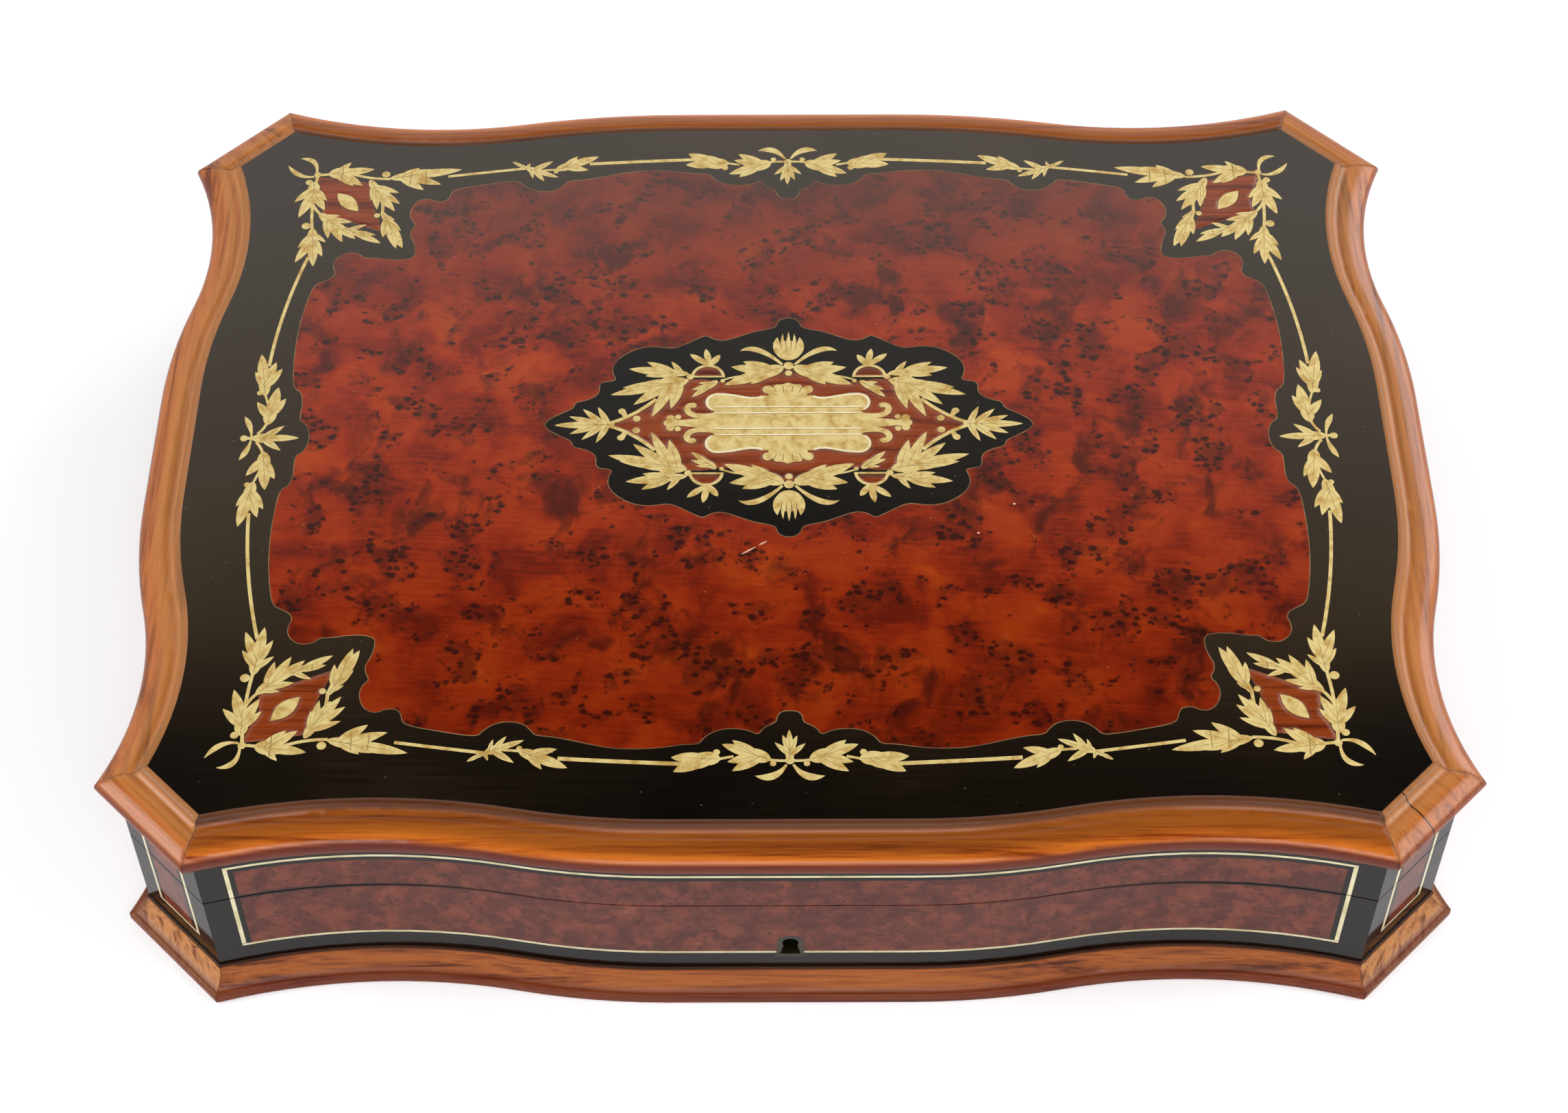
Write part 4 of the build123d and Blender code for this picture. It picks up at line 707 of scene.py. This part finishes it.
# The burr field and the ebony cartouche in it, one quarter each, from the front's middle to the right side
fields = {
    "burr": [
        (0.0, 86.7), (1.7, 86.8), (3.0, 88.0), (3.2, 90.0), (4.6, 90.7), (6.4, 91.8), (7.5, 93.8),
        (9.5, 92.6), (12.5, 91.9), (16.0, 92.0), (19.0, 93.2), (20.8, 95.0), (21.6, 96.4), (25.5, 96.5),
        (29.5, 97.3), (35.0, 97.8), (41.0, 97.7), (46.0, 96.8), (52.0, 95.2), (57.0, 94.1), (60.6, 93.8),
        (61.6, 92.4), (63.6, 90.4), (67.0, 89.6), (70.6, 90.3), (73.2, 92.4), (74.4, 94.0), (79.0, 93.4),
        (85.0, 92.2), (90.5, 91.0), (92.6, 89.8), (92.9, 87.8), (94.0, 86.0), (96.5, 85.8), (99.0, 87.1),
        (101.4, 86.4), (103.0, 84.1), (103.6, 81.3), (103.0, 78.9), (101.4, 77.1), (102.6, 75.1),
        (102.8, 72.7), (101.6, 70.3), (101.0, 67.7), (101.0, 64.6), (104.0, 63.6), (108.5, 63.8),
        (112.0, 64.5), (114.6, 64.4), (116.0, 66.0), (118.6, 66.6), (121.0, 65.6), (122.7, 63.2),
        (122.6, 60.6), (121.8, 58.8), (122.6, 57.0), (124.6, 55.8), (126.8, 54.6), (127.8, 52.1),
        (128.8, 46.5), (129.6, 40.5), (130.0, 32.5), (129.8, 24.4), (129.3, 18.8), (128.4, 16.8),
        (126.9, 15.8), (126.2, 12.4), (126.4, 8.4), (126.2, 5.8), (124.6, 4.8), (123.6, 2.5),
        (123.3, 0.0),
    ],
    "ebonyIsland": [
        (0.0, 37.3), (1.7, 37.0), (3.0, 35.7), (3.3, 33.9), (6.0, 33.1), (9.0, 32.4), (12.5, 30.9),
        (15.5, 29.6), (17.6, 29.1), (19.8, 29.7), (21.7, 31.1), (23.5, 30.2), (26.5, 28.3), (30.0, 26.4),
        (33.0, 26.8), (36.0, 27.2), (39.5, 26.5), (42.6, 24.7), (45.0, 22.4), (46.1, 19.9), (45.9, 17.4),
        (45.0, 15.5), (46.4, 14.9), (48.6, 14.7), (49.4, 13.4), (49.2, 11.4), (50.2, 9.5), (52.6, 8.3),
        (55.4, 7.6), (55.8, 5.6), (58.0, 4.3), (60.6, 2.8), (62.4, 1.4), (63.0, 0.0),
    ],
    "middles": {"burr": marquetry["borderMiddle"], "ebonyIsland": marquetry["cartoucheMiddle"]},
    "glueLine": 0.22,  # the pale line of glue where burr and ebony meet, drawn coarser to show
}
addShape("ebony", topOutline("lid_board"))
for layer, middle in fields["middles"].items():
    edge = softened(fields[layer])
    addShape(layer, allRound(edge, middle))
    for quarter in quarters:
        ribbon("glue", placed(edge, quarter, middle), lambda t: fields["glueLine"])

# Cartouche, drawn in one quarter from its middle: red ground, sprays, half-moon rings and dots
cartouche = {
    "red": [(0.0, 19.8), (3.4, 17.6), (8.2, 15.4), (17.2, 14.6), (22.5, 15.6), (27.6, 15.4), (35.5, 7.6),
            (41.0, 3.0), (46.0, 0.0)],
    "leaves": [
        ((26.1, 15.2), (46.2, 10.2),
         [(30.6, 5.4), (35.5, 2.6), (40.2, 6.6), (43.4, 12.6), (38.4, 14.0)], 1.1),
        ((26.1, 17.4), (41.7, 19.3), [(33.2, 15.4), (37.5, 16.6), (30.9, 21.8), (37.3, 21.6)], 1.0),
        ((18.6, 15.0), (25.0, 9.4), [(25.0, 12.0), (23.4, 14.2)], 1.0),
        ((1.2, 19.8), (16.6, 13.6), [(9.7, 13.7), (15.1, 19.8), (12.1, 21.6)], 1.25),
    ],
    "axisLeaves": [
        ((45.0, 0.0), (60.5, 0.0),
         [(49.4, 6.1), (53.4, 5.2), (56.6, 3.0), (49.4, -6.1), (53.4, -5.2), (56.6, -3.0)], 0.82),
    ],
    "tuft": {"base": (20.6, 20.2), "tips": [(18.0, 24.1), (21.8, 26.2), (25.9, 24.4)]},
    "ring": {"middle": (21.1, 16.2), "radius": 4.5, "line": 0.8, "chord": 0.55},
    "dots": [((39.3, 2.0), 1.0), ((43.2, 4.5), 0.95), ((25.7, 16.4), 0.95), ((17.2, 15.0), 0.6)],
    "strips": {
        "stem": ((46.2, 0.5), (40.0, 2.8), (34.4, 8.7)),
        "bud": ((42.0, 2.2), (42.4, 3.4), (43.2, 4.8)),
        "link": ((11.5, 16.6), (14.0, 16.7), (17.2, 15.2)),
        "horn": ((1.6, 20.6), (8.4, 28.2), (12.7, 25.5)),
    },
    "widths": {
        "stem": lambda t: 1.0,
        "bud": lambda t: 1.0 + 0.7 * t,
        "link": lambda t: 0.55,
        "horn": lambda t: 0.7 + 1.6 * math.sin(math.pi * t ** 1.4) * (1 - 0.2 * t) - 0.6 * t,
    },
    "tulip": {
        "foot": 22.05,
        "cup": 25.65,
        "halfWidth": 3.5,
        "petals": [  # tip and width
            ((0.0, 32.3), 1.3),
            ((-2.9, 30.3), 2.4),
            ((-1.5, 31.6), 1.3),
            ((2.9, 30.3), 2.4),
            ((1.5, 31.6), 1.3),
        ],
        "gaps": [-2.2, -0.75, 0.75, 2.2],
        "beads": [((0, 17.6), 0.95), ((0, 20.2), 1.3)],
    },
}
centre = marquetry["cartoucheMiddle"]
addShape("red", allRound(cartouche["red"], centre))
for quarter in quarters:
    ring = cartouche["ring"]
    for layer, radius, low in (
        ("cartoucheBrass", ring["radius"], 0.0), ("ringRed", ring["radius"] - ring["line"], ring["chord"])
    ):
        first = math.asin(low / radius)
        angles = [first + (math.pi - 2 * first) * step / 16 for step in range(17)]
        halfMoon = [onCircle(ring["middle"], radius, angle) for angle in angles]
        addShape(layer, placed(halfMoon, quarter, centre))
    leaves("cartoucheBrass", cartouche["leaves"], quarter, centre)
    for tip in cartouche["tuft"]["tips"]:
        spear = placed([cartouche["tuft"]["base"], tip], quarter, centre)
        straight("cartoucheBrass", *spear, lambda t: 2.0 * lobeWidth(t) * (0.4 + t), 10)
    discs("cartoucheBrass", cartouche["dots"], quarter, centre)
    for name, line in cartouche["strips"].items():
        strip("cartoucheBrass", *placed(line, quarter, centre), cartouche["widths"][name])
for side in (quarters[0], quarters[2]):
    leaves("cartoucheBrass", cartouche["axisLeaves"], side, centre)
    tulip = cartouche["tulip"]
    cup = tulip["cup"]
    disc("cartoucheBrass", inQuarter((0, cup), side, centre), tulip["halfWidth"])
    for (x, y), width in tulip["petals"]:
        petal = placed([(x * 0.5, tulip["foot"] + 1.5), (x * 1.25, cup + 1.0), (x, y)], side, centre)
        strip("cartoucheBrass", *petal, lambda t: width * lobeWidth(t))
    for x in tulip["gaps"]:
        gap = placed([(x * 0.8, cup + 0.2), (x, cup + 3.6)], side, centre)
        straight("engraving", *gap, lambda t: 0.12 + 0.25 * t, 4)
    discs("cartoucheBrass", tulip["beads"], side, centre)

# Plaque in the middle: two long ears with a shell between their scrolls, a band, and a fleuron at each end
plaque = {
    "middle": (-0.2, 5.95, 1.0),
    "earEnd": 21.4,
    "earLow": 3.9,
    "earHigh": 10.2,
    "earWaist": 8.8,
    "earInner": 5.2,
    "rim": 0.75,
    "rimInset": 0.3,
    "shell": 3.4,
    "shellPlace": (0, 10.0),
    "scrolls": [
        ((0, 12.4), 1.35), ((-2.6, 11.9), 1.3), ((2.6, 11.9), 1.3),
        ((-5.2, 11.4), 1.35), ((5.2, 11.4), 1.35),
    ],
    "flutes": [-1.4, 1.4, -3.9, 3.9],
    "fluteFoot": 10.4,
    "fluteTip": 12.9,
    "halfBand": [(-18.5, -4.1), (18.5, -4.1), (19.6, -3.4), (22.6, -1.9), (22.6, 1.9), (19.6, 3.4)],
    "lines": [5.5, 3.4, -1.9, -4.0],
    "lineEnd": 19.0,
    "lineWidths": [("burnish", 0.0, 0.42), ("engraving", 0.32, 0.16)],  # layer, how far below, width
    "spike": ((21.5, 0), (26.0, 0), (29.8, 0)),
    "scroll": ((19.6, 2.6), (25.4, 1.6), (26.1, 4.6)),
    "curl": ((26.1, 4.4), (26.0, 6.2), (24.6, 6.2)),
    "beads": [((24.5, 6.0), 0.85), ((28.4, 2.0), 0.8), ((30.4, 1.6), 1.1)],
    "endBeads": [((31.0, 0), 1.1), ((29.4, 0), 1.3)],
}
centre = plaque["middle"]
earRadius = (plaque["earHigh"] - plaque["earLow"]) / 2
turnX = plaque["earEnd"] - earRadius
turnY = plaque["earLow"] + earRadius
ear = [onCircle((turnX, turnY), earRadius, math.radians(15 * step - 90)) for step in range(13)]
for step in range(1, 9):
    t = step / 9
    dip = (plaque["earHigh"] - plaque["earWaist"]) * math.sin(math.pi * t * t)
    ear.append((turnX * (1 - t) + plaque["earInner"] * t, plaque["earHigh"] - dip))
inset = plaque["rimInset"]
rim = [(x - inset * max(x - turnX, 0) / earRadius, y - inset * (y > turnY)) for x, y in ear[2:]]
for up in (1, -1):
    outline = []
    for hand in (1, -1):
        ribbon("burnish", placed(rim, (hand, up), centre), lambda t: plaque["rim"])
        outline += placed(ear, (hand, up), centre)[::hand]
    addShape("cartoucheBrass", outline)
    disc("cartoucheBrass", inQuarter(plaque["shellPlace"], (1, up), centre), plaque["shell"], 1.5)
    discs("cartoucheBrass", plaque["scrolls"], (1, up), centre)
    for x in plaque["flutes"]:
        flute = [(x * 0.75, plaque["fluteFoot"]), (x, plaque["fluteTip"])]
        straight("engraving", *placed(flute, (1, up), centre), lambda t: 0.25, 3)
halfBand = plaque["halfBand"]
addShape("cartoucheBrass", placed(halfBand + [(-x, -y) for x, y in halfBand], (1, 1), centre))
for height in plaque["lines"]:
    for layer, below, width in plaque["lineWidths"]:
        ends = [(-plaque["lineEnd"], height - below), (plaque["lineEnd"], height - below)]
        straight(layer, *placed(ends, (1, 1), centre), lambda t: width, 2)
for hand in (1, -1):
    strip("cartoucheBrass", *placed(plaque["spike"], (hand, 1), centre), lambda t: 3.4 - 1.9 * t)
    for side in ((hand, 1), (hand, -1)):
        strip("cartoucheBrass", *placed(plaque["scroll"], side, centre), lambda t: 1.5 + 0.2 * t)
        strip("cartoucheBrass", *placed(plaque["curl"], side, centre), lambda t: 1.7 - 0.3 * t)
        discs("cartoucheBrass", plaque["beads"], side, centre)
    discs("cartoucheBrass", plaque["endBeads"], (hand, 1), centre)

# Corners: a red lozenge with a pointed oval in it, wreathed in leaves, and two curled shoots
corners = {
    "red": [(110.0, 74.0), (118.5, 77.6), (127.8, 81.0), (127.2, 86.0), (130.4, 95.8), (122.0, 94.6),
            (115.4, 93.4), (113.6, 84.0)],
    "leaves": [
        ((129.7, 75.8), (128.4, 61.2), [(133.1, 62.6), (133.1, 68.2), (126.0, 65.2), (125.4, 70.2)], 1.0),
        ((128.4, 81.4), (117.7, 71.4), [(121.1, 70.4), (124.9, 71.8), (119.4, 78.0), (122.6, 80.6)], 1.0),
        ((130.7, 93.6), (131.0, 84.2), [(133.8, 80.1), (135.6, 85.9), (127.2, 82.7), (126.7, 86.4)], 1.1),
        ((115.5, 94.4), (110.0, 83.4),
         [(107.6, 82.0), (106.7, 85.2), (107.3, 89.3), (112.8, 83.1), (114.6, 86.2)], 0.95),
        ((111.2, 82.0), (104.4, 68.2), [(105.6, 74.5), (106.3, 67.8), (110.4, 72.4), (107.4, 78.8)], 1.05),
        ((121.3, 75.8), (110.8, 69.8), [(112.2, 73.0), (115.3, 76.9), (116.3, 72.2)], 0.95),
        ((127.2, 96.7), (114.6, 98.7), [(121.2, 101.1), (117.5, 92.4), (119.9, 92.3)], 1.15),
        ((110.0, 95.0), (90.5, 98.6), [(100.6, 90.6), (95.8, 92.7), (98.2, 98.6), (102.0, 99.3)], 1.1),
    ],
    "stems": [
        ((129.7, 75.0), (130.4, 80.0), (130.5, 84.2)), ((130.5, 84.0), (130.6, 90.0), (130.1, 96.5)),
        ((127.6, 80.8), (129.4, 82.4), (130.5, 85.0)), ((130.1, 96.5), (128.5, 96.4), (127.0, 96.7)),
        ((109.9, 94.8), (116.3, 94.8), (121.0, 97.0)), ((111.1, 80.8), (111.0, 84.0), (111.6, 88.0)),
    ],
    "shoots": [
        ((131.0, 95.8), (135.4, 94.8), (138.6, 100.1)), ((130.5, 96.9), (130.2, 103.0), (135.4, 102.9)),
    ],
    "dots": [((131.5, 76.6), 1.2), ((132.2, 93.5), 1.0), ((111.2, 96.6), 1.15), ((112.4, 80.6), 0.85),
             ((130.1, 96.5), 1.0)],
    "oval": {"middle": (120.9, 85.8), "half": 4.7, "width": 4.1, "slope": 48.5},
    "bands": [
        ((123.3, 93.6), (123.3, 100.0)), ((104.4, 92.2), (104.2, 97.8)),
        ((100.0, 92.6), (100.2, 98.0)), ((115.6, 72.4), (115.6, 75.2)),
    ],
}
# Middles of the sides: axis leaves, paired leaves, buds, and the fine lines that join them to the corners
borders = {
    "leaves": [
        ((4.6, 101.0), (16.3, 96.6), [(13.6, 95.4), (14.8, 101.8), (13.9, 104.3)], 1.2),
        ((16.4, 100.7), (28.1, 100.2), [(27.5, 104.5), (22.6, 103.6)], 1.45),
        ((64.3, 98.2), (52.6, 103.4), [(55.1, 97.9), (58.4, 103.4)], 1.15),
        ((72.4, 98.8), (63.4, 95.2), [(67.3, 93.8), (70.6, 95.0), (65.4, 101.5), (71.6, 101.0)], 0.9),
        ((72.2, 98.6), (76.6, 101.3), [], 0.8),
        ((134.6, 4.6), (132.8, 17.5), [(130.7, 13.7), (138.1, 12.5)], 1.25),
        ((136.1, 14.6), (138.7, 29.2), [(132.7, 23.9), (134.2, 26.4), (139.7, 22.8)], 1.1),
    ],
    "lines": [
        ((24.0, 102.2), (39.0, 101.6), (55.0, 100.5), 1.1), ((72.6, 98.8), (83.0, 97.4), (94.0, 95.7), 0.9),
        ((136.2, 25.0), (135.2, 45.0), (129.8, 64.8), 0.9), ((0.4, 101.2), (2.6, 101.4), (5.0, 101.0), 0.7),
        ((13.4, 100.0), (15.4, 100.4), (17.0, 100.8), 0.7), ((136.8, 1.4), (135.2, 3.2), (134.7, 5.4), 0.75),
        ((134.6, 9.0), (135.2, 12.4), (136.2, 15.0), 0.6), ((62.0, 98.6), (64.6, 98.2), (68.0, 98.0), 0.7),
        ((137.8, 0.0), (139.0, 0.0), (140.2, 0.0), 0.9),
    ],
    "dots": [((17.4, 98.8), 0.85), ((4.0, 102.1), 0.75), ((64.2, 97.5), 0.7), ((137.6, 15.6), 0.8)],
    "tail": ((0.8, 102.4), (3.6, 107.3), (8.2, 105.6)),
    "whisker": ((138.2, 0.4), (138.4, 3.6), (140.6, 7.4)),
    "axisLeaves": [
        ((0, 101.4), (0, 92.3), [(1.9, 93.9), (-1.9, 93.9), (3.7, 96.2), (-3.7, 96.2)], 0.95),
        ((138.2, 0), (126.0, 0), [(130.2, 4.0), (130.2, -4.0)], 0.95),
    ],
    "axisDots": [((0, 101.2), 1.1), ((140.1, 0), 1.0)],
}
centre = marquetry["borderMiddle"]
for quarter in quarters:
    addShape("red", placed(corners["red"], quarter, centre))
    leaves("cornerBrass", corners["leaves"], quarter, centre)
    for line in corners["stems"]:
        strip("cornerBrass", *placed(line, quarter, centre), lambda t: 0.85)
    for line in corners["shoots"]:
        strip("cornerBrass", *placed(line, quarter, centre),
              lambda t: 0.65 + 1.5 * math.sin(math.pi * t ** 1.7) * (1 - 0.3 * t) - 0.55 * t)
    discs("cornerBrass", corners["dots"], quarter, centre)
    oval = corners["oval"]
    slope = math.radians(oval["slope"])
    ends = [onCircle(oval["middle"], half, slope) for half in (-oval["half"], oval["half"])]
    straight("cornerBrass", *placed(ends, quarter, centre),
             lambda t: oval["width"] * math.sin(math.pi * t) ** 0.9, 16)
    for band in corners["bands"]:
        straight("engraving", *placed(band, quarter, centre), lambda t: 0.22, 2)
    leaves("borderBrass", borders["leaves"], quarter, centre)
    for *line, width in borders["lines"]:
        strip("borderBrass", *placed(line, quarter, centre), lambda t: width, 14)
    discs("borderBrass", borders["dots"], quarter, centre)
    strip("borderBrass", *placed(borders["tail"], quarter, centre),
          lambda t: 0.6 + 1.7 * math.sin(math.pi * t ** 1.3) - 0.5 * t)
    strip("borderBrass", *placed(borders["whisker"], quarter, centre),
          lambda t: 0.5 + 1.3 * math.sin(math.pi * t ** 1.8) - 0.4 * t)
for side in (quarters[0], quarters[2]):
    leaves("borderBrass", borders["axisLeaves"], side, centre)
    discs("borderBrass", borders["axisDots"], side, centre)

# A scratch and two bruises in the polish of the burr
wear = {
    "scratches": [((-5.6, -33.2), (-7.6, -34.4)), ((-8.4, -35.0), (-11.9, -37.3))],
    "width": 0.42,
    "bruises": [(56.9, -21.3), (47.4, -30.7)],
    "radius": 0.28,
}
for start, end in wear["scratches"]:
    straight("wear", start, end, lambda t: wear["width"] * math.sin(math.pi * (0.1 + 0.8 * t)), 6)
for bruise in wear["bruises"]:
    disc("wear", bruise, wear["radius"], 1.2)
print("marquetry drawn:", len(shapes), "shapes")

layerOrder = [
    "ebony", "burr", "ebonyIsland", "glue", "red", "cartoucheBrass", "cornerBrass", "borderBrass", "ringRed",
    "burnish", "engraving", "wear",
]
linesOnBrass = ("burnish", "engraving")  # these count only where a brass layer lies under them
outlinePoints = []
rings = []
for _, points in shapes:
    rings.append(list(range(len(outlinePoints), len(outlinePoints) + len(points))))
    outlinePoints += [Vector(point) for point in points]
cutPoints, _, cutFaces, _, _, cutSources = delaunay_2d_cdt(outlinePoints, [], rings, 1, 1e-4, True)
trianglesOf = {layer: [] for layer in layerOrder}
for face, sources in zip(cutFaces, cutSources):
    here = sorted({shapes[source][0] for source in sources}, key=layerOrder.index)
    if not any(layer.endswith("Brass") for layer in here):
        here = [layer for layer in here if layer not in linesOnBrass]
    if here:
        trianglesOf[here[-1]].append(face)
print("marquetry cut:", len(cutFaces), "triangles")


def inlaySolid(name, layers, low, high):
    # closed plates: the cut triangles on top, the same below, and walls along every open side
    triangles = [face for layer in layers for face in trianglesOf[layer]]
    used = sorted({index for face in triangles for index in face})
    number = {index: place for place, index in enumerate(used)}
    count = len(used)
    points = [(mm(cutPoints[i][0]), mm(cutPoints[i][1]), high) for i in used]
    points += [(x, y, low) for x, y, _ in points]
    sides = {}
    faces = []
    for face in triangles:
        loop = [number[index] for index in face]
        faces.append(loop)
        faces.append([place + count for place in reversed(loop)])
        sides.update(dict.fromkeys(zip(loop, loop[1:] + loop[:1])))
    for first, second in sides:
        if (second, first) not in sides:
            faces.append([second, first, first + count, second + count])
    mesh = bpy.data.meshes.new(name)
    mesh.from_pydata(points, [], faces)
    mesh.validate()
    piece = bpy.data.objects.new(name, mesh)
    bpy.context.scene.collection.objects.link(piece)
    return piece


# Old brass stands a little above the shrunken veneer, in millimetres
laying = {"brass": 0.02, "burnished": 0.04, "engraved": 0.005, "chipped": 0.01, "chipDepth": 0.05}
low, top = (corner.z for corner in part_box("lid_burr_field"))
brassTop = top + mm(laying["brass"])
burnishedTop = top + mm(laying["burnished"])
engravedTop = top + mm(laying["engraved"])
chipLow = top - mm(laying["chipDepth"])
chipTop = top + mm(laying["chipped"])
inlays = [
    ("ebonyGround", ["ebony"], low, top, ebonyTop, "ebony", "lid_ebony_ground"),
    ("ebonyCartouche", ["ebonyIsland"], low, top, ebonyMiddle, "ebony", None),
    ("burrField", ["burr"], low, top, burrTop, "burr", "lid_burr_field"),
    ("glueLines", ["glue"], low, top, hideGlue, "carcass_wood", None),
    ("redGrounds", ["red", "ringRed"], low, top, redVeneer, "red_wood", "lid_red_grounds"),
    ("cartoucheInlay", ["cartoucheBrass"], low, brassTop, inlayBrass, "brass_inlay", "cartouche_brass"),
    ("cornerInlay", ["cornerBrass"], low, brassTop, inlayBrass, "brass_inlay", "corner_brass"),
    ("borderInlay", ["borderBrass"], low, brassTop, inlayBrass, "brass_inlay", "border_brass"),
    ("burnishedEdges", ["burnish"], low, burnishedTop, burnishedBrass, "brass_inlay", None),
    ("engravedLines", ["engraving"], low, engravedTop, mastic, "ebony", None),
    ("polishWear", ["wear"], chipLow, chipTop, chippedPolish, "burr", None),
]
for name, layers, low, high, material, slot, replaced in inlays:
    piece = inlaySolid(name, layers, low, high)
    piece.data.materials.append(material)
    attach(piece, "lid")
    if replaced:
        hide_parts(replaced)
print("marquetry laid")

# A white tent: bright low down and behind, dark overhead, with a soft light on each side
room = {
    "floor": "#FCFCFE",
    "floorSize": 6.0,  # metres
    "sky": [(0.0, "#FCFCFC"), (0.62, "#FFFFFF"), (0.70, "#FAFAF8"), (0.755, "#B4B2AC"), (0.79, "#504E4C"),
            (0.83, "#201F1E"), (1.0, "#181716")],
    "skyStrength": 1.08,
    "lights": {  # place, what it is turned to, width and height, power
        "leftSoftbox": ((-1.25, -0.35, 0.95), (0, 0, 0), (0.8, 0.9), 14.0),
        "rightSoftbox": ((1.25, -0.25, 0.95), (0, 0, 0), (0.8, 0.9), 12.0),
        "backRightWindow": ((1.05, 0.9, 0.65), (0, 0, 0), (0.7, 0.6), 5.5),
        "frontStrip": ((0.0, -0.95, 1.25), (0, 0, 0.05), (0.6, 0.35), 5.0),
    },
}
bpy.ops.mesh.primitive_plane_add(size=room["floorSize"])
floor = bpy.context.active_object
floor.name = "floor"
floorPaper = startMaterial("mattWhitePaper", {"Roughness": 0.8, "Base Color": room["floor"]})[0]
floor.data.materials.append(floorPaper)
for name, (place, target, size, power) in room["lights"].items():
    data = bpy.data.lights.new(name, "AREA")
    data.shape = "RECTANGLE"
    data.size, data.size_y = size
    data.energy = power
    light = bpy.data.objects.new(name, data)
    bpy.context.scene.collection.objects.link(light)
    light.location = place
    light.rotation_euler = (Vector(target) - Vector(place)).to_track_quat("-Z", "Y").to_euler()
world = bpy.data.worlds.new("paleRoom")
bpy.context.scene.world = world
world.use_nodes = True
worldTree = world.node_tree
worldTree.nodes.clear()
direction = addNode(worldTree, "TexCoord", {}, None, "Generated")
upward = addNode(worldTree, "SeparateXYZ", {0: direction}, None, "Z")
sky = addNode(worldTree, "ValToRGB", {0: upward}, {"stops": room["sky"]})
background = addNode(worldTree, "Background", {"Color": sky, "Strength": room["skyStrength"]})
addNode(worldTree, "OutputWorld", {"Surface": background})
bpy.context.scene.view_settings.view_transform = "Standard"

# Camera, fitted to the photograph's lines: a long lens looking down on the front
view = {
    "place": (-1.02, -502.35, 650.79),
    "sensor": 36.0,
    "lens": 68.99,
    "yaw": 0.036,
    "pitch": 38.351,
    "roll": -0.181,
}
cameraData = bpy.data.cameras.new("camera")
cameraData.sensor_width = view["sensor"]
cameraData.lens = view["lens"]
camera = bpy.data.objects.new("camera", cameraData)
bpy.context.scene.collection.objects.link(camera)
camera.matrix_world = (
    Matrix.Translation([mm(v) for v in view["place"]])
    @ Matrix.Rotation(math.radians(view["yaw"]), 4, "Z")
    @ Matrix.Rotation(math.radians(view["pitch"]), 4, "X")
    @ Matrix.Rotation(math.radians(view["roll"]), 4, "Z")
)
bpy.context.scene.camera = camera
print("room and camera ready")
